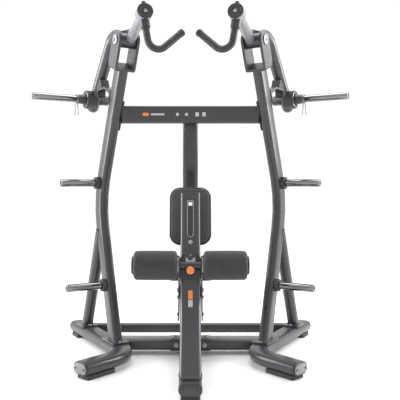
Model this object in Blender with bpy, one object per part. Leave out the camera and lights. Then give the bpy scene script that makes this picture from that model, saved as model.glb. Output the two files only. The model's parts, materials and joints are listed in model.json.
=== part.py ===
"""Plate-loaded lat pulldown machine: two splayed side frames carry two independent pull-down levers, and a
bent centre post carries the chest pad, the knee rollers and the seat.

Metres, +Z up, the user's end of the foot tube towards -Y, origin on the floor under the machine's middle.
The machine is symmetric: right-hand pieces are modelled in a frame of their own side, where x points
outwards, y backwards along the base rail and z up, and each left-hand piece is the mirror image."""

import math

import bmesh
import bpy
from mathutils import Matrix, Vector

# ---------------------------------------------------------------- driving dimensions, metres
GAP = 0.0003  # between pieces that touch
RUNNING_GAP = 0.0005  # between a turning piece and what it turns on
TUBE_WALL = 0.003
BOLT_RADIUS, BOLT_HEIGHT = 0.008, 0.003

ROUND_SIDES = 18  # main round tubes
SMALL_SIDES = 12  # bars, bolts and collars
CORNER_STEPS = 3  # straight pieces in a rounded tube corner
ARC_STEP = math.radians(14)  # most turn between two rings of a bent tube

# Where the machine's own datum lies, so that the origin is under the middle of its box
DATUM_Y = -0.012

# Side frames
SPLAY = math.radians(30.6)
UPRIGHT_FOOT = Vector((0.465, 0.100, 0.0))

RAIL_WIDTH, RAIL_HEIGHT, RAIL_CORNER = 0.120, 0.070, 0.027
RAIL_BOTTOM = 0.025
RAIL_TOP = RAIL_BOTTOM + RAIL_HEIGHT
RAIL_MIDDLE = RAIL_BOTTOM + RAIL_HEIGHT / 2
RAIL_REAR_END = Vector((0.0, 0.675))
RAIL_CORNER_POINT = Vector((0.0, -0.202))
RAIL_FRONT_END = Vector((0.3465, -0.311))
RAIL_BEND_RADIUS = 0.200
CAP_THICKNESS = 0.014
RAIL_FRONT_PAD_LENGTH, RAIL_REAR_PAD_LENGTH = 0.200, 0.120
PAD_WIDTH = 0.100

UPRIGHT_DEPTH, UPRIGHT_WIDTH, UPRIGHT_CORNER = 0.105, 0.060, 0.020
LOWER_LEAN, UPPER_LEAN = math.radians(16.55), math.radians(22.66)
KNEE_RADIUS = 0.500
FOOT_PLATE_TOP = RAIL_TOP + 0.010
UPRIGHT_PLATE_LENGTH, FOOT_PLATE_WIDTH = 0.190, 0.108
LEG_RADIUS = 0.038
LEG_FOOT_Y = 0.482
LEG_JOIN_Z = 0.800
LEG_PLATE_LENGTH = 0.130

# Lever pivots, in the side frame
PIVOT = Vector((0.0, -0.156, 1.925))
EAR_RADIUS = 0.058
EAR_INSIDE, EAR_OUTSIDE = 0.051, 0.067
BRACKET_DROP = 0.175  # from the pivot down to the end of the upright
BRACKET_CORNER = 0.014
BRACKET_FLOOR_FRONT, BRACKET_FLOOR_BACK = 0.014, 0.034  # thickness of the bracket's sloping floor
SHAFT_RADIUS, SHAFT_CAP_RADIUS, SHAFT_CAP_LENGTH = 0.015, 0.030, 0.008
HUB_RADIUS, HUB_HALF_LENGTH = 0.0435, 0.0497

# Rear lever and its weight horn, from the pivot
LEVER_RADIUS = 0.038
LEVER_CORNER = Vector((0.0, 0.1777, 0.0808))
LEVER_END = Vector((0.0, 0.530, -0.339))
LEVER_BEND_RADIUS = 0.100
GUSSET_OUTLINE = ((-0.040, 0.020), (0.046, 0.020), (0.046, 0.052), (-0.040, 0.080))  # x, z
GUSSET_FRONT, GUSSET_THICKNESS = 0.014, 0.016
HORN_CENTRE = Vector((0.0, 0.495, -0.297))
HORN_RADIUS = 0.024
HORN_TIP = 0.422
HORN_STOP_RADIUS, HORN_STOP_FACE = 0.060, 0.071
CONE_END = 0.118
HORN_CAP_RADIUS, HORN_CAP_INSIDE, HORN_CAP_OUTSIDE = 0.0315, 0.042, 0.090

COLLAR_START, COLLAR_LENGTH = 0.1195, 0.018
COLLAR_BORE, COLLAR_OUTER = 0.0247, 0.031
WIRE_RADIUS, WIRE_DROP = 0.003, 0.080

# Front arm and its handle
ARM_ROOT = Vector((-0.024, 0.0, 0.0))  # where its centre line crosses the hub, from the pivot
ARM_YAW, ARM_PITCH = math.radians(13.0), math.radians(9.9)
ARM_REACH = 0.4197
ARM_RADIUS = 0.030
SPINDLE_RADIUS = 0.022
BARREL_LENGTH, BARREL_RADIUS = 0.0555, 0.045
DISC_THICKNESS, DISC_RADIUS = 0.008, 0.044
HANDLE_COLLAR_RADIUS, HANDLE_COLLAR_END = 0.027, 0.085
CORE_RADIUS, GRIP_RADIUS = 0.0145, 0.0195
HANDLE_TOP = Vector((0.0, 0.0, -0.030))
HANDLE_CORNER = Vector((-0.0285, 0.0, -0.255))
HANDLE_TIP = Vector((-0.216, 0.0, -0.087))
HANDLE_BEND_RADIUS = 0.055
TIP_LENGTH = 0.012
STUD_RADIUS, STUD_TOP = 0.012, 0.066

# Rest stop of the lever, from the pivot: a looped bracket and a rubber wedge
STOP_HALF_WIDTH = 0.028
STOP_PLATE = 0.008

# Weight storage horns, in the side frame
STORAGE_HORNS = {"lower": (0.093, 0.432), "upper": (0.199, 1.075)}
STORAGE_COLLAR_RADIUS, STORAGE_COLLAR_END, STORAGE_TIP = 0.040, 0.056, 0.283

# Cross members
BEAM_Z, BEAM_HEIGHT, BEAM_DEPTH = 1.500, 0.108, 0.060
BEAM_Y = 0.124
BEAM_FLANGE_LENGTH, BEAM_FLANGE_WIDTH, BEAM_FLANGE_THICKNESS = 0.190, 0.060, 0.008
FRONT_CROSS_Y, FRONT_CROSS_DEPTH = 0.190, 0.120
REAR_CROSS_Y, REAR_CROSS_SIZE = 0.5915, 0.060
REAR_CROSS_Z = 0.060
SADDLE_INNER, SADDLE_OUTER = 0.062, 0.128

# Rear column, in the machine's middle plane
COLUMN_WIDTH, COLUMN_DEPTH, COLUMN_CORNER = 0.096, 0.060, 0.020
COLUMN_TOP = Vector((0.0, 0.200, 1.545))
COLUMN_KNEE = Vector((0.0, 0.185, 1.200))
COLUMN_FOOT = Vector((0.0, 0.5915, 0.0903))
COLUMN_BEND_RADIUS = 0.400

# Centre foot tube and post
FOOT_TUBE_WIDTH = 0.118
FOOT_TUBE_FRONT, FOOT_TUBE_REAR = -0.685, 0.250
POST_WIDTH, POST_DEPTH, POST_CORNER = 0.112, 0.070, 0.022
POST_LOWER_LEAN, POST_UPPER_LEAN = math.radians(39.0), math.radians(14.5)
POST_BEND = Vector((0.0, -0.342, 0.407))
POST_TOP_Z = 1.010
POST_BEND_RADIUS = 0.150
COVER_WIDTH, COVER_LENGTH, COVER_THICKNESS = 0.037, 0.210, 0.008
POST_BOLT_Z = 0.738
COVER_MIDDLE_Z = 0.865

# Chest pad, seat and seat frame
CHEST_PAD_Z = 0.899  # on the post's axis, as are the heights below
CHEST_PAD_WIDTH, CHEST_PAD_HEIGHT, CHEST_PAD_CORNER, CHEST_PAD_THICKNESS = 0.240, 0.340, 0.0625, 0.065
PAD_MOUNT_THICKNESS = 0.010
SEAT_WIDTH, SEAT_DEPTH, SEAT_CORNER, SEAT_THICKNESS = 0.330, 0.340, 0.060, 0.056
SEAT_FRONT, SEAT_BOTTOM = -0.060, 0.499
SEAT_TUBE_FRONT, SEAT_TUBE_REAR, SEAT_TUBE_BOTTOM = -0.272, 0.220, 0.430
SIDE_PLATE_INNER, SIDE_PLATE_THICKNESS = 0.0593, 0.008

# Knee rollers on their carriage
AXLE_Z, AXLE_FORWARD = 0.610, 0.068  # height on the post's axis, and distance in front of it
AXLE_RADIUS = 0.0135
ROLLER_RADIUS, ROLLER_BORE = 0.079, 0.0145
ROLLER_INNER, ROLLER_OUTER = 0.072, 0.308
CHEEK_INNER, CHEEK_OUTER, CHEEK_RADIUS = 0.0583, 0.0643, 0.052
ROLLER_CAP_RADIUS, ROLLER_CAP_THICKNESS = 0.050, 0.010
PIN_DROP, PIN_RADIUS, KNOB_RADIUS = 0.030, 0.0055, 0.0225
KNOB_BACK, KNOB_FRONT = 0.084, 0.106

MATERIALS = {  # colour, roughness, metallic
    "graphite_paint": ((0.075, 0.078, 0.082), 0.35, 0.55),
    "silver_paint": ((0.62, 0.63, 0.65), 0.30, 0.80),
    "chrome": ((0.75, 0.75, 0.76), 0.12, 1.0),
    "black_rubber": ((0.025, 0.025, 0.027), 0.80, 0.0),
    "black_plastic": ((0.030, 0.030, 0.032), 0.50, 0.0),
    "black_upholstery": ((0.045, 0.045, 0.048), 0.60, 0.0),
    "black_foam": ((0.055, 0.055, 0.058), 0.85, 0.0),
    "orange_plastic": ((0.80, 0.25, 0.08), 0.40, 0.0),
    "zinc_steel": ((0.60, 0.60, 0.62), 0.35, 1.0),
}

ACROSS = Vector((1.0, 0.0, 0.0))
BACK = Vector((0.0, 1.0, 0.0))
UP = Vector((0.0, 0.0, 1.0))


# ---------------------------------------------------------------- outlines and paths
def rounded_rectangle(width, height, radius, steps=CORNER_STEPS):
    """Outline points, anticlockwise, of a rectangle with rounded corners."""
    points = []
    for corner, (x, y) in enumerate(((1, 1), (-1, 1), (-1, -1), (1, -1))):
        centre = Vector((x * (width / 2 - radius), y * (height / 2 - radius)))
        for step in range(steps + 1):
            angle = math.pi / 2 * (corner + step / steps)
            points.append(centre + radius * Vector((math.cos(angle), math.sin(angle))))
    return points


def circle(radius, sides=ROUND_SIDES):
    """Outline points, anticlockwise, of a circle."""
    angles = [2 * math.pi * side / sides for side in range(sides)]
    return [radius * Vector((math.cos(angle), math.sin(angle))) for angle in angles]


def bent_path(start, corner, end, radius):
    """Points from start to end round one corner, which an arc of the given radius rounds off."""
    into, out = (corner - start).normalized(), (end - corner).normalized()
    turn = into.angle(out)
    centre = corner + (out - into).normalized() * radius / math.cos(turn / 2)
    arm = corner - into * radius * math.tan(turn / 2) - centre
    axis = into.cross(out).normalized()
    steps = max(2, math.ceil(turn / ARC_STEP))
    arc = [centre + Matrix.Rotation(turn * step / steps, 3, axis) @ arm for step in range(steps + 1)]
    return [start, *arc, end]


def in_plane(points):
    """Turns (y, z) pairs into points of the plane x = 0."""
    return [Vector((0.0, y, z)) for y, z in points]


# ---------------------------------------------------------------- solids
def finished_mesh(shape):
    """The bmesh as a mesh whose faces point outwards."""
    if shape.calc_volume(signed=True) < 0:
        bmesh.ops.reverse_faces(shape, faces=shape.faces)
    mesh = bpy.data.meshes.new("solid")
    shape.to_mesh(mesh)
    shape.free()
    return mesh


def add_rings(shape, rings):
    """Adds a closed band of faces between each ring of points and the next. Returns the rings' vertices."""
    corners = [[shape.verts.new(point) for point in ring] for ring in rings]
    for ring, following in zip(corners, corners[1:]):
        for i in range(len(ring)):
            j = (i + 1) % len(ring)
            shape.faces.new((ring[i], ring[j], following[j], following[i]))
    return corners


def section(path, index, outline, side, end_normal):
    """The outline's points on the path at one of its points, mitred where the path bends."""
    here = path[index]
    into = (here - path[index - 1]).normalized() if index else None
    out = (path[index + 1] - here).normalized() if index + 1 < len(path) else None
    along = into or out
    normal = end_normal or (into + out if into and out else along)
    across = side.cross(along)
    points = []
    for x, y in outline:
        offset = across * x + side * y
        points.append(here + offset - along * (offset.dot(normal) / along.dot(normal)))
    return points


def swept(path, outline, side, hollow=None, start_normal=None, end_normal=None):
    """A bar that carries the outline along a flat path. The side axis is square to the path's plane, the
    outline's y runs along it, and a hollow outline makes the bar a tube with open ends."""
    shape = bmesh.new()
    ends = {0: start_normal, len(path) - 1: end_normal}
    bands = []
    for loop in filter(None, (outline, hollow)):
        rings = [section(path, i, loop, side, ends.get(i)) for i in range(len(path))]
        bands.append(add_rings(shape, rings))
    for end in (0, -1):
        if not hollow:
            face = bands[0][end]
            shape.faces.new(face if end else face[::-1])
            continue
        outside, inside = bands[0][end], bands[1][end]
        for i in range(len(outside)):
            j = (i + 1) % len(outside)
            face = (outside[i], outside[j], inside[j], inside[i])
            shape.faces.new(face if end else face[::-1])
    if hollow:
        inner = [face for face in shape.faces if set(face.verts) <= set(sum(bands[1], []))]
        bmesh.ops.reverse_faces(shape, faces=inner)
    return finished_mesh(shape)


def oval_tube(path, width, depth, corner, side, **ends):
    """A hollow tube of rounded rectangular section: width in the path's plane, depth along the side axis."""
    outline = rounded_rectangle(width, depth, corner)
    inside = rounded_rectangle(width - 2 * TUBE_WALL, depth - 2 * TUBE_WALL, corner - TUBE_WALL)
    return swept(path, outline, side, inside, **ends)


def round_tube(path, radius, side, sides=ROUND_SIDES, **ends):
    """A hollow round tube."""
    return swept(path, circle(radius, sides), side, circle(radius - TUBE_WALL, sides), **ends)


def turned(profile, sides=ROUND_SIDES, ring=False):
    """A piece turned about the x axis from (x, radius) points. A ring's profile is closed and clear of the
    axis; any other profile starts and ends on it."""
    shape = bmesh.new()
    directions = [Vector((0.0, p.x, p.y)) for p in circle(1.0, sides)]
    inner = profile if ring else profile[1:-1]
    rings = [[Vector((x, 0, 0)) + radius * direction for direction in directions] for x, radius in inner]
    corners = add_rings(shape, rings)
    if ring:
        for i in range(sides):
            j = (i + 1) % sides
            shape.faces.new((corners[-1][i], corners[-1][j], corners[0][j], corners[0][i]))
    else:
        shape.faces.new(corners[0][::-1])
        shape.faces.new(corners[-1])
    return finished_mesh(shape)


def prism(points, thickness):
    """A plate: a flat outline of points in space, and the vector that it is extruded by."""
    shape = bmesh.new()
    near, far = add_rings(shape, [points, [point + thickness for point in points]])
    shape.faces.new(near[::-1])
    shape.faces.new(far)
    return finished_mesh(shape)


def block(low, high):
    """A box between two opposite corners."""
    corners = ((low[0], low[1]), (high[0], low[1]), (high[0], high[1]), (low[0], high[1]))
    return prism([Vector((x, y, low[2])) for x, y in corners], UP * (high[2] - low[2]))


def flat_plate(width, length, corner, bottom, top, centre=(0.0, 0.0)):
    """A level plate with rounded corners: width along x, length along y."""
    outline = [p + Vector(centre) for p in rounded_rectangle(width, length, corner)]
    return prism([Vector((x, y, bottom)) for x, y in outline], UP * (top - bottom))


def bolt_head(position, axis, depth=0.004):
    """A round bolt head standing on a face at the position, let into it so that the two join."""
    outline = [(-depth, 0), (-depth, BOLT_RADIUS), (BOLT_HEIGHT, BOLT_RADIUS), (BOLT_HEIGHT, 0)]
    mesh = turned(outline, SMALL_SIDES)
    return moved(mesh, Matrix.Translation(position) @ ACROSS.rotation_difference(axis).to_matrix().to_4x4())


def moved(mesh, matrix):
    """The mesh, moved by the matrix."""
    mesh.transform(matrix)
    return mesh


def mirrored(mesh):
    """A mirror image of the mesh, left to right."""
    other = mesh.copy()
    other.transform(Matrix.Diagonal((-1.0, 1.0, 1.0, 1.0)))
    other.flip_normals()
    return other


def combined(operation, mesh, tools):
    """The mesh after a Boolean with each of the tools in turn."""
    work = bpy.data.objects.new("work", mesh)
    bpy.context.scene.collection.objects.link(work)
    helpers = []
    for tool in tools:
        helper = bpy.data.objects.new("tool", tool)
        bpy.context.scene.collection.objects.link(helper)
        helpers.append(helper)
        modifier = work.modifiers.new("boolean", "BOOLEAN")
        modifier.operation = operation
        modifier.object = helper
    depsgraph = bpy.context.evaluated_depsgraph_get()
    result = bpy.data.meshes.new_from_object(work.evaluated_get(depsgraph))
    for item in (work, *helpers):
        bpy.data.objects.remove(item)
    return result


def joined(mesh, *tools):
    """One body made of the mesh and all the tools."""
    return combined("UNION", mesh, tools)


def cut(mesh, *tools):
    """The mesh with the tools' volumes taken away."""
    return combined("DIFFERENCE", mesh, tools)


# ---------------------------------------------------------------- scene
def clear_scene():
    for item in list(bpy.data.objects):
        bpy.data.objects.remove(item, do_unlink=True)


def make_materials():
    """One Principled material for each finish."""
    made = {}
    for name, (colour, roughness, metallic) in MATERIALS.items():
        material = bpy.data.materials.new(name)
        material.use_nodes = True
        shader = material.node_tree.nodes["Principled BSDF"]
        shader.inputs["Base Color"].default_value = (*colour, 1.0)
        shader.inputs["Roughness"].default_value = roughness
        shader.inputs["Metallic"].default_value = metallic
        made[name] = material
    return made


def add_empty(name, matrix, parent=None):
    empty = bpy.data.objects.new(name, None)
    bpy.context.scene.collection.objects.link(empty)
    empty.parent = parent
    empty.matrix_basis = matrix
    return empty


def add_part(name, mesh, parent, material):
    """Puts a sub-part in the scene under its parent, in the parent's own frame."""
    mesh.name = name
    mesh.shade_smooth()
    mesh.set_sharp_from_angle(angle=math.radians(35))
    mesh.materials.clear()
    mesh.materials.append(material)
    part = bpy.data.objects.new(name, mesh)
    bpy.context.scene.collection.objects.link(part)
    part.parent = parent
    return part


def add_empties(name, matrix, parents):
    """A right-hand empty and its mirror image on the left, as {side: empty}."""
    mirror = Matrix.Diagonal((-1.0, 1.0, 1.0, 1.0))
    places = {"right": matrix, "left": mirror @ matrix @ mirror}
    return {side: add_empty(f"{side}_{name}", place, parents[side]) for side, place in places.items()}


def add_pair(name, mesh, parents, material):
    """A right-hand sub-part and its mirror image on the left."""
    other = mirrored(mesh)
    add_part(f"right_{name}", mesh, parents["right"], material)
    add_part(f"left_{name}", other, parents["left"], material)


# ---------------------------------------------------------------- side frames
def rail_path(shorten=0.0):
    """Centre line of a base rail from its rear end, round the bend, to its front end."""
    rear, corner, front = (
        Vector((point.x, point.y, RAIL_MIDDLE))
        for point in (RAIL_REAR_END, RAIL_CORNER_POINT, RAIL_FRONT_END)
    )
    rear -= (rear - corner).normalized() * shorten
    front -= (front - corner).normalized() * shorten
    return bent_path(rear, corner, front, RAIL_BEND_RADIUS)


def rail_cutter():
    """The space that a base rail takes, with the gap round it."""
    size = 2 * GAP
    outline = rounded_rectangle(RAIL_WIDTH + size, RAIL_HEIGHT + size, RAIL_CORNER + GAP)
    return swept(rail_path(), outline, UP)


def rail_frame(end, towards, inset):
    """Frame at a rail's end: origin on the centre line at floor level, y outwards along the rail."""
    along = (end - towards).normalized()
    place = end - along * inset
    turn = Matrix.Rotation(math.atan2(along.y, along.x) - math.pi / 2, 4, "Z")
    return Matrix.Translation((place.x, place.y, 0.0)) @ turn


def end_cap():
    """A moulded cap over a rail's end, from y = 0 outwards."""
    outer = rounded_rectangle(RAIL_WIDTH, RAIL_HEIGHT + 0.001, RAIL_CORNER)
    face = rounded_rectangle(RAIL_WIDTH - 0.010, RAIL_HEIGHT - 0.009, RAIL_CORNER - 0.005)
    shape = bmesh.new()
    steps = ((outer, 0.0), (outer, CAP_THICKNESS - 0.005), (face, CAP_THICKNESS))
    rings = [[Vector((p.x, y, RAIL_MIDDLE + p.y)) for p in loop] for loop, y in steps]
    corners = add_rings(shape, rings)
    shape.faces.new(corners[0][::-1])
    shape.faces.new(corners[-1])
    return finished_mesh(shape)


def rubber_pad(width, length):
    """A rubber foot under a rail's end, from y = 0 inwards."""
    return flat_plate(width, length, 0.012, 0.0, RAIL_BOTTOM - GAP, (0.0, -length / 2))


def add_base_rails(sides, materials):
    reach = CAP_THICKNESS + GAP
    tube = oval_tube(rail_path(reach), RAIL_WIDTH, RAIL_HEIGHT, RAIL_CORNER, UP)
    add_pair("base_rail", tube, sides, materials["graphite_paint"])
    ends = {
        "front": (RAIL_FRONT_END, RAIL_FRONT_PAD_LENGTH),
        "rear": (RAIL_REAR_END, RAIL_REAR_PAD_LENGTH),
    }
    for name, (end, length) in ends.items():
        cap_place = rail_frame(end, RAIL_CORNER_POINT, CAP_THICKNESS)
        pad_place = rail_frame(end, RAIL_CORNER_POINT, CAP_THICKNESS + 0.004)
        add_pair(f"{name}_end_cap", moved(end_cap(), cap_place), sides, materials["black_plastic"])
        pad = moved(rubber_pad(PAD_WIDTH, length), pad_place)
        add_pair(f"{name}_foot", pad, sides, materials["black_rubber"])


def upright_axis_up():
    """Unit vector up the leaning upper part of an upright."""
    return Vector((0.0, -math.sin(UPPER_LEAN), math.cos(UPPER_LEAN)))


def upright_knee():
    """Where the centre lines of an upright's lower and upper parts would cross."""
    lower, upper = math.tan(LOWER_LEAN), math.tan(UPPER_LEAN)
    z = (PIVOT.y + upper * PIVOT.z + lower * FOOT_PLATE_TOP) / (lower + upper)
    return Vector((0.0, lower * (z - FOOT_PLATE_TOP), z))


def upright_path():
    """Centre line of an upright from inside its foot plate to its bracket."""
    foot_z = FOOT_PLATE_TOP - 0.005
    foot = Vector((0.0, math.tan(LOWER_LEAN) * (foot_z - FOOT_PLATE_TOP), foot_z))
    top = PIVOT - upright_axis_up() * (BRACKET_DROP + GAP)
    return bent_path(foot, upright_knee(), top, KNEE_RADIUS)


def foot_plate(length, centre_y):
    """A bolted plate on top of the rail, with a drain hole into the tube that stands on it."""
    bottom, middle = RAIL_TOP + GAP, Vector((0.0, centre_y, FOOT_PLATE_TOP))
    plate = flat_plate(FOOT_PLATE_WIDTH, length, 0.012, bottom, FOOT_PLATE_TOP, (0.0, centre_y))
    bolts = [bolt_head(middle + BACK * (end * (length / 2 - 0.014)), UP) for end in (-1, 1)]
    return joined(plate, *bolts)


def drain_hole(centre_y):
    return flat_plate(0.016, 0.016, 0.0075, RAIL_TOP - 0.010, FOOT_PLATE_TOP + 0.020, (0.0, centre_y))


def add_uprights(sides, materials):
    tube = oval_tube(
        upright_path(), UPRIGHT_DEPTH, UPRIGHT_WIDTH, UPRIGHT_CORNER, ACROSS, start_normal=UP
    )
    body = cut(joined(tube, foot_plate(UPRIGHT_PLATE_LENGTH, 0.0)), drain_hole(0.0))
    add_pair("upright", body, sides, materials["graphite_paint"])


def add_rear_legs(sides, materials):
    join = Vector((0.0, math.tan(LOWER_LEAN) * (LEG_JOIN_Z - FOOT_PLATE_TOP), LEG_JOIN_Z))
    foot = Vector((0.0, LEG_FOOT_Y, FOOT_PLATE_TOP - 0.005))
    up = (join - foot).normalized()
    tube = round_tube([foot, join - up * 0.030], LEG_RADIUS, ACROSS, start_normal=UP)
    size = 2 * GAP
    space = rounded_rectangle(UPRIGHT_DEPTH + size, UPRIGHT_WIDTH + size, UPRIGHT_CORNER + GAP)
    tube = cut(tube, swept(upright_path(), space, ACROSS))
    body = cut(joined(tube, foot_plate(LEG_PLATE_LENGTH, LEG_FOOT_Y)), drain_hole(LEG_FOOT_Y))
    add_pair("rear_leg", body, sides, materials["graphite_paint"])


def add_storage_horns(sides, materials):
    """Turned horns for spare plates on the uprights' outer faces: collar, bar and rounded tip."""
    start = UPRIGHT_WIDTH / 2 + GAP
    profile = [
        (start, 0),
        (start, STORAGE_COLLAR_RADIUS - 0.002),
        (start + 0.002, STORAGE_COLLAR_RADIUS),
        (STORAGE_COLLAR_END - 0.003, STORAGE_COLLAR_RADIUS),
        (STORAGE_COLLAR_END, STORAGE_COLLAR_RADIUS - 0.003),
        (STORAGE_COLLAR_END, HORN_RADIUS),
        (STORAGE_TIP - 0.005, HORN_RADIUS),
        (STORAGE_TIP, HORN_RADIUS - 0.005),
        (STORAGE_TIP, 0),
    ]
    for name, (y, z) in STORAGE_HORNS.items():
        horn = moved(turned(profile, ROUND_SIDES), Matrix.Translation((0.0, y, z)))
        add_pair(f"{name}_storage_horn", horn, sides, materials["chrome"])


# ---------------------------------------------------------------- pivots and levers
def add_pivot_brackets(pivots, materials):
    """A U-shaped bracket at the top of each upright, in line with its leaning upper part."""
    arc = [math.pi * step / 10 for step in range(11)]
    top = [(EAR_RADIUS * math.cos(angle), EAR_RADIUS * math.sin(angle)) for angle in arc]
    outline = [*top, (-EAR_RADIUS, -BRACKET_DROP), (EAR_RADIUS - 0.020, -BRACKET_DROP)]
    outline.append((EAR_RADIUS, -BRACKET_DROP + 0.035))
    thickness = EAR_OUTSIDE - EAR_INSIDE
    ears = [
        prism([Vector((x, y, z)) for y, z in outline], ACROSS * thickness)
        for x in (EAR_INSIDE, -EAR_OUTSIDE)
    ]
    reach = EAR_RADIUS - 0.002
    bottom = -BRACKET_DROP + 0.0002
    slope = [
        (-reach, bottom),
        (reach - 0.012, bottom),
        (reach - 0.012, -BRACKET_DROP + BRACKET_FLOOR_BACK),
        (-reach, -BRACKET_DROP + BRACKET_FLOOR_FRONT),
    ]
    floor_half = EAR_INSIDE + 0.006
    web = prism([Vector((-floor_half, y, z)) for y, z in slope], ACROSS * (2 * floor_half))
    hole = turned(
        [(-0.1, 0), (-0.1, SHAFT_RADIUS + GAP), (0.1, SHAFT_RADIUS + GAP), (0.1, 0)], ROUND_SIDES
    )
    top_z = EAR_RADIUS + 0.050
    rounding = rounded_rectangle(2 * EAR_OUTSIDE, BRACKET_DROP + top_z, BRACKET_CORNER)
    middle_z = (top_z - BRACKET_DROP) / 2
    envelope = prism([Vector((p.x, -0.1, p.y + middle_z)) for p in rounding], BACK * 0.2)
    bracket = cut(joined(ears[0], web, ears[1]), hole)
    bracket = combined("INTERSECT", bracket, [envelope])
    bracket = moved(bracket, Matrix.Rotation(UPPER_LEAN, 4, "X"))
    add_pair("pivot_bracket", bracket, pivots, materials["graphite_paint"])


def add_pivot_shafts(pivots, materials):
    """The shaft through each bracket and hub, with a wide cap outside each ear."""
    face = EAR_OUTSIDE + GAP
    end = face + SHAFT_CAP_LENGTH
    half = [(face, SHAFT_RADIUS), (face, SHAFT_CAP_RADIUS), (end - 0.002, SHAFT_CAP_RADIUS)]
    half += [(end, SHAFT_CAP_RADIUS - 0.004), (end, 0)]
    profile = [(-x, radius) for x, radius in reversed(half)] + half
    add_pair("pivot_shaft", turned(profile, ROUND_SIDES), pivots, materials["zinc_steel"])


def lever_path():
    start = LEVER_CORNER.normalized() * 0.030
    return bent_path(start, LEVER_CORNER, LEVER_END, LEVER_BEND_RADIUS)


def add_levers(arms, materials):
    """The pivot hub, with a gusset on top, and the arched lever that carries the plates behind the user."""
    hub = turned(
        [(-HUB_HALF_LENGTH, 0), (-HUB_HALF_LENGTH, HUB_RADIUS), (HUB_HALF_LENGTH, HUB_RADIUS),
         (HUB_HALF_LENGTH, 0)]
    )
    tube = round_tube(lever_path(), LEVER_RADIUS, ACROSS)
    corners = [Vector((x, GUSSET_FRONT, z)) for x, z in GUSSET_OUTLINE]
    gusset = prism(corners, BACK * GUSSET_THICKNESS)
    along = (LEVER_END - LEVER_CORNER).normalized()
    angles = [math.pi / 2 * step / 4 for step in range(4)]
    dome = [(LEVER_RADIUS * math.sin(a), (LEVER_RADIUS - 0.0004) * math.cos(a)) for a in angles]
    dome_end = (LEVER_RADIUS, 0)
    dome_mesh = turned([(-0.004, 0), (-0.004, LEVER_RADIUS - 0.0004), *dome, dome_end])
    turn = ACROSS.rotation_difference(along).to_matrix().to_4x4()
    dome_mesh = moved(dome_mesh, Matrix.Translation(LEVER_END) @ turn)
    bore_radius = SHAFT_RADIUS + RUNNING_GAP
    bore = turned([(-0.2, 0), (-0.2, bore_radius), (0.2, bore_radius), (0.2, 0)])
    socket = turned([(-0.1, 0), (-0.1, HORN_RADIUS + GAP), (0.1, HORN_RADIUS + GAP), (0.1, 0)])
    socket = moved(socket, Matrix.Translation(HORN_CENTRE))
    body = cut(joined(hub, tube, dome_mesh, gusset), bore, socket)
    add_pair("lever_arm", body, arms, materials["graphite_paint"])


def add_weight_horns(arms, materials):
    """The horn passes through the lever's end, with a cap inside and a cone and sleeve outside."""
    profile = [
        (-HORN_CAP_OUTSIDE, 0),
        (-HORN_CAP_OUTSIDE, HORN_CAP_RADIUS - 0.004),
        (-HORN_CAP_OUTSIDE + 0.004, HORN_CAP_RADIUS),
        (-HORN_CAP_INSIDE, HORN_CAP_RADIUS),
        (-HORN_CAP_INSIDE, HORN_RADIUS),
        (HORN_STOP_FACE + GAP, HORN_RADIUS),
        (HORN_STOP_FACE + GAP, 0.036),
        (CONE_END - 0.010, 0.030),
        (CONE_END, HORN_RADIUS + 0.004),
        (CONE_END, HORN_RADIUS),
        (HORN_TIP - 0.006, HORN_RADIUS),
        (HORN_TIP, HORN_RADIUS - 0.006),
        (HORN_TIP, 0),
    ]
    horn = moved(turned(profile, ROUND_SIDES), Matrix.Translation(HORN_CENTRE))
    add_pair("weight_horn", horn, arms, materials["chrome"])


def add_horn_stops(arms, materials):
    """The rubber-faced disc that plates rest against, saddled over the lever."""
    inner = HORN_RADIUS + GAP
    chamfer = 0.004
    profile = [
        (-0.010, inner),
        (-0.010, HORN_STOP_RADIUS),
        (HORN_STOP_FACE - chamfer, HORN_STOP_RADIUS),
        (HORN_STOP_FACE, HORN_STOP_RADIUS - chamfer),
        (HORN_STOP_FACE, inner),
    ]
    disc = moved(turned(profile, ROUND_SIDES + 10, ring=True), Matrix.Translation(HORN_CENTRE))
    along = (LEVER_END - LEVER_CORNER).normalized()
    path = [LEVER_END - along * 0.3, LEVER_END + along * 0.1]
    lever = swept(path, circle(LEVER_RADIUS + 0.0008), ACROSS)
    below = block((-0.1, 0.2, -0.6), (0.0, 0.8, 0.0))
    add_pair("horn_stop", cut(disc, lever, below), arms, materials["black_rubber"])


def spring_collar():
    """A sprung wire collar that grips a horn, with its two legs hanging."""
    ring = turned(
        [(0, COLLAR_BORE), (0, COLLAR_OUTER), (COLLAR_LENGTH, COLLAR_OUTER), (COLLAR_LENGTH, COLLAR_BORE)],
        ROUND_SIDES,
        ring=True,
    )
    legs = []
    middle = (COLLAR_BORE + COLLAR_OUTER) / 2
    for x, swing in ((COLLAR_LENGTH * 0.25, -0.012), (COLLAR_LENGTH * 0.75, 0.012)):
        path = [Vector((x, 0.0, -middle)), Vector((x, swing, -middle - WIRE_DROP))]
        legs.append(swept(path, circle(WIRE_RADIUS, 8), ACROSS))
    return joined(ring, *legs)


def add_spring_collars(collars, materials):
    add_pair("spring_collar", spring_collar(), collars, materials["chrome"])


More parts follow.
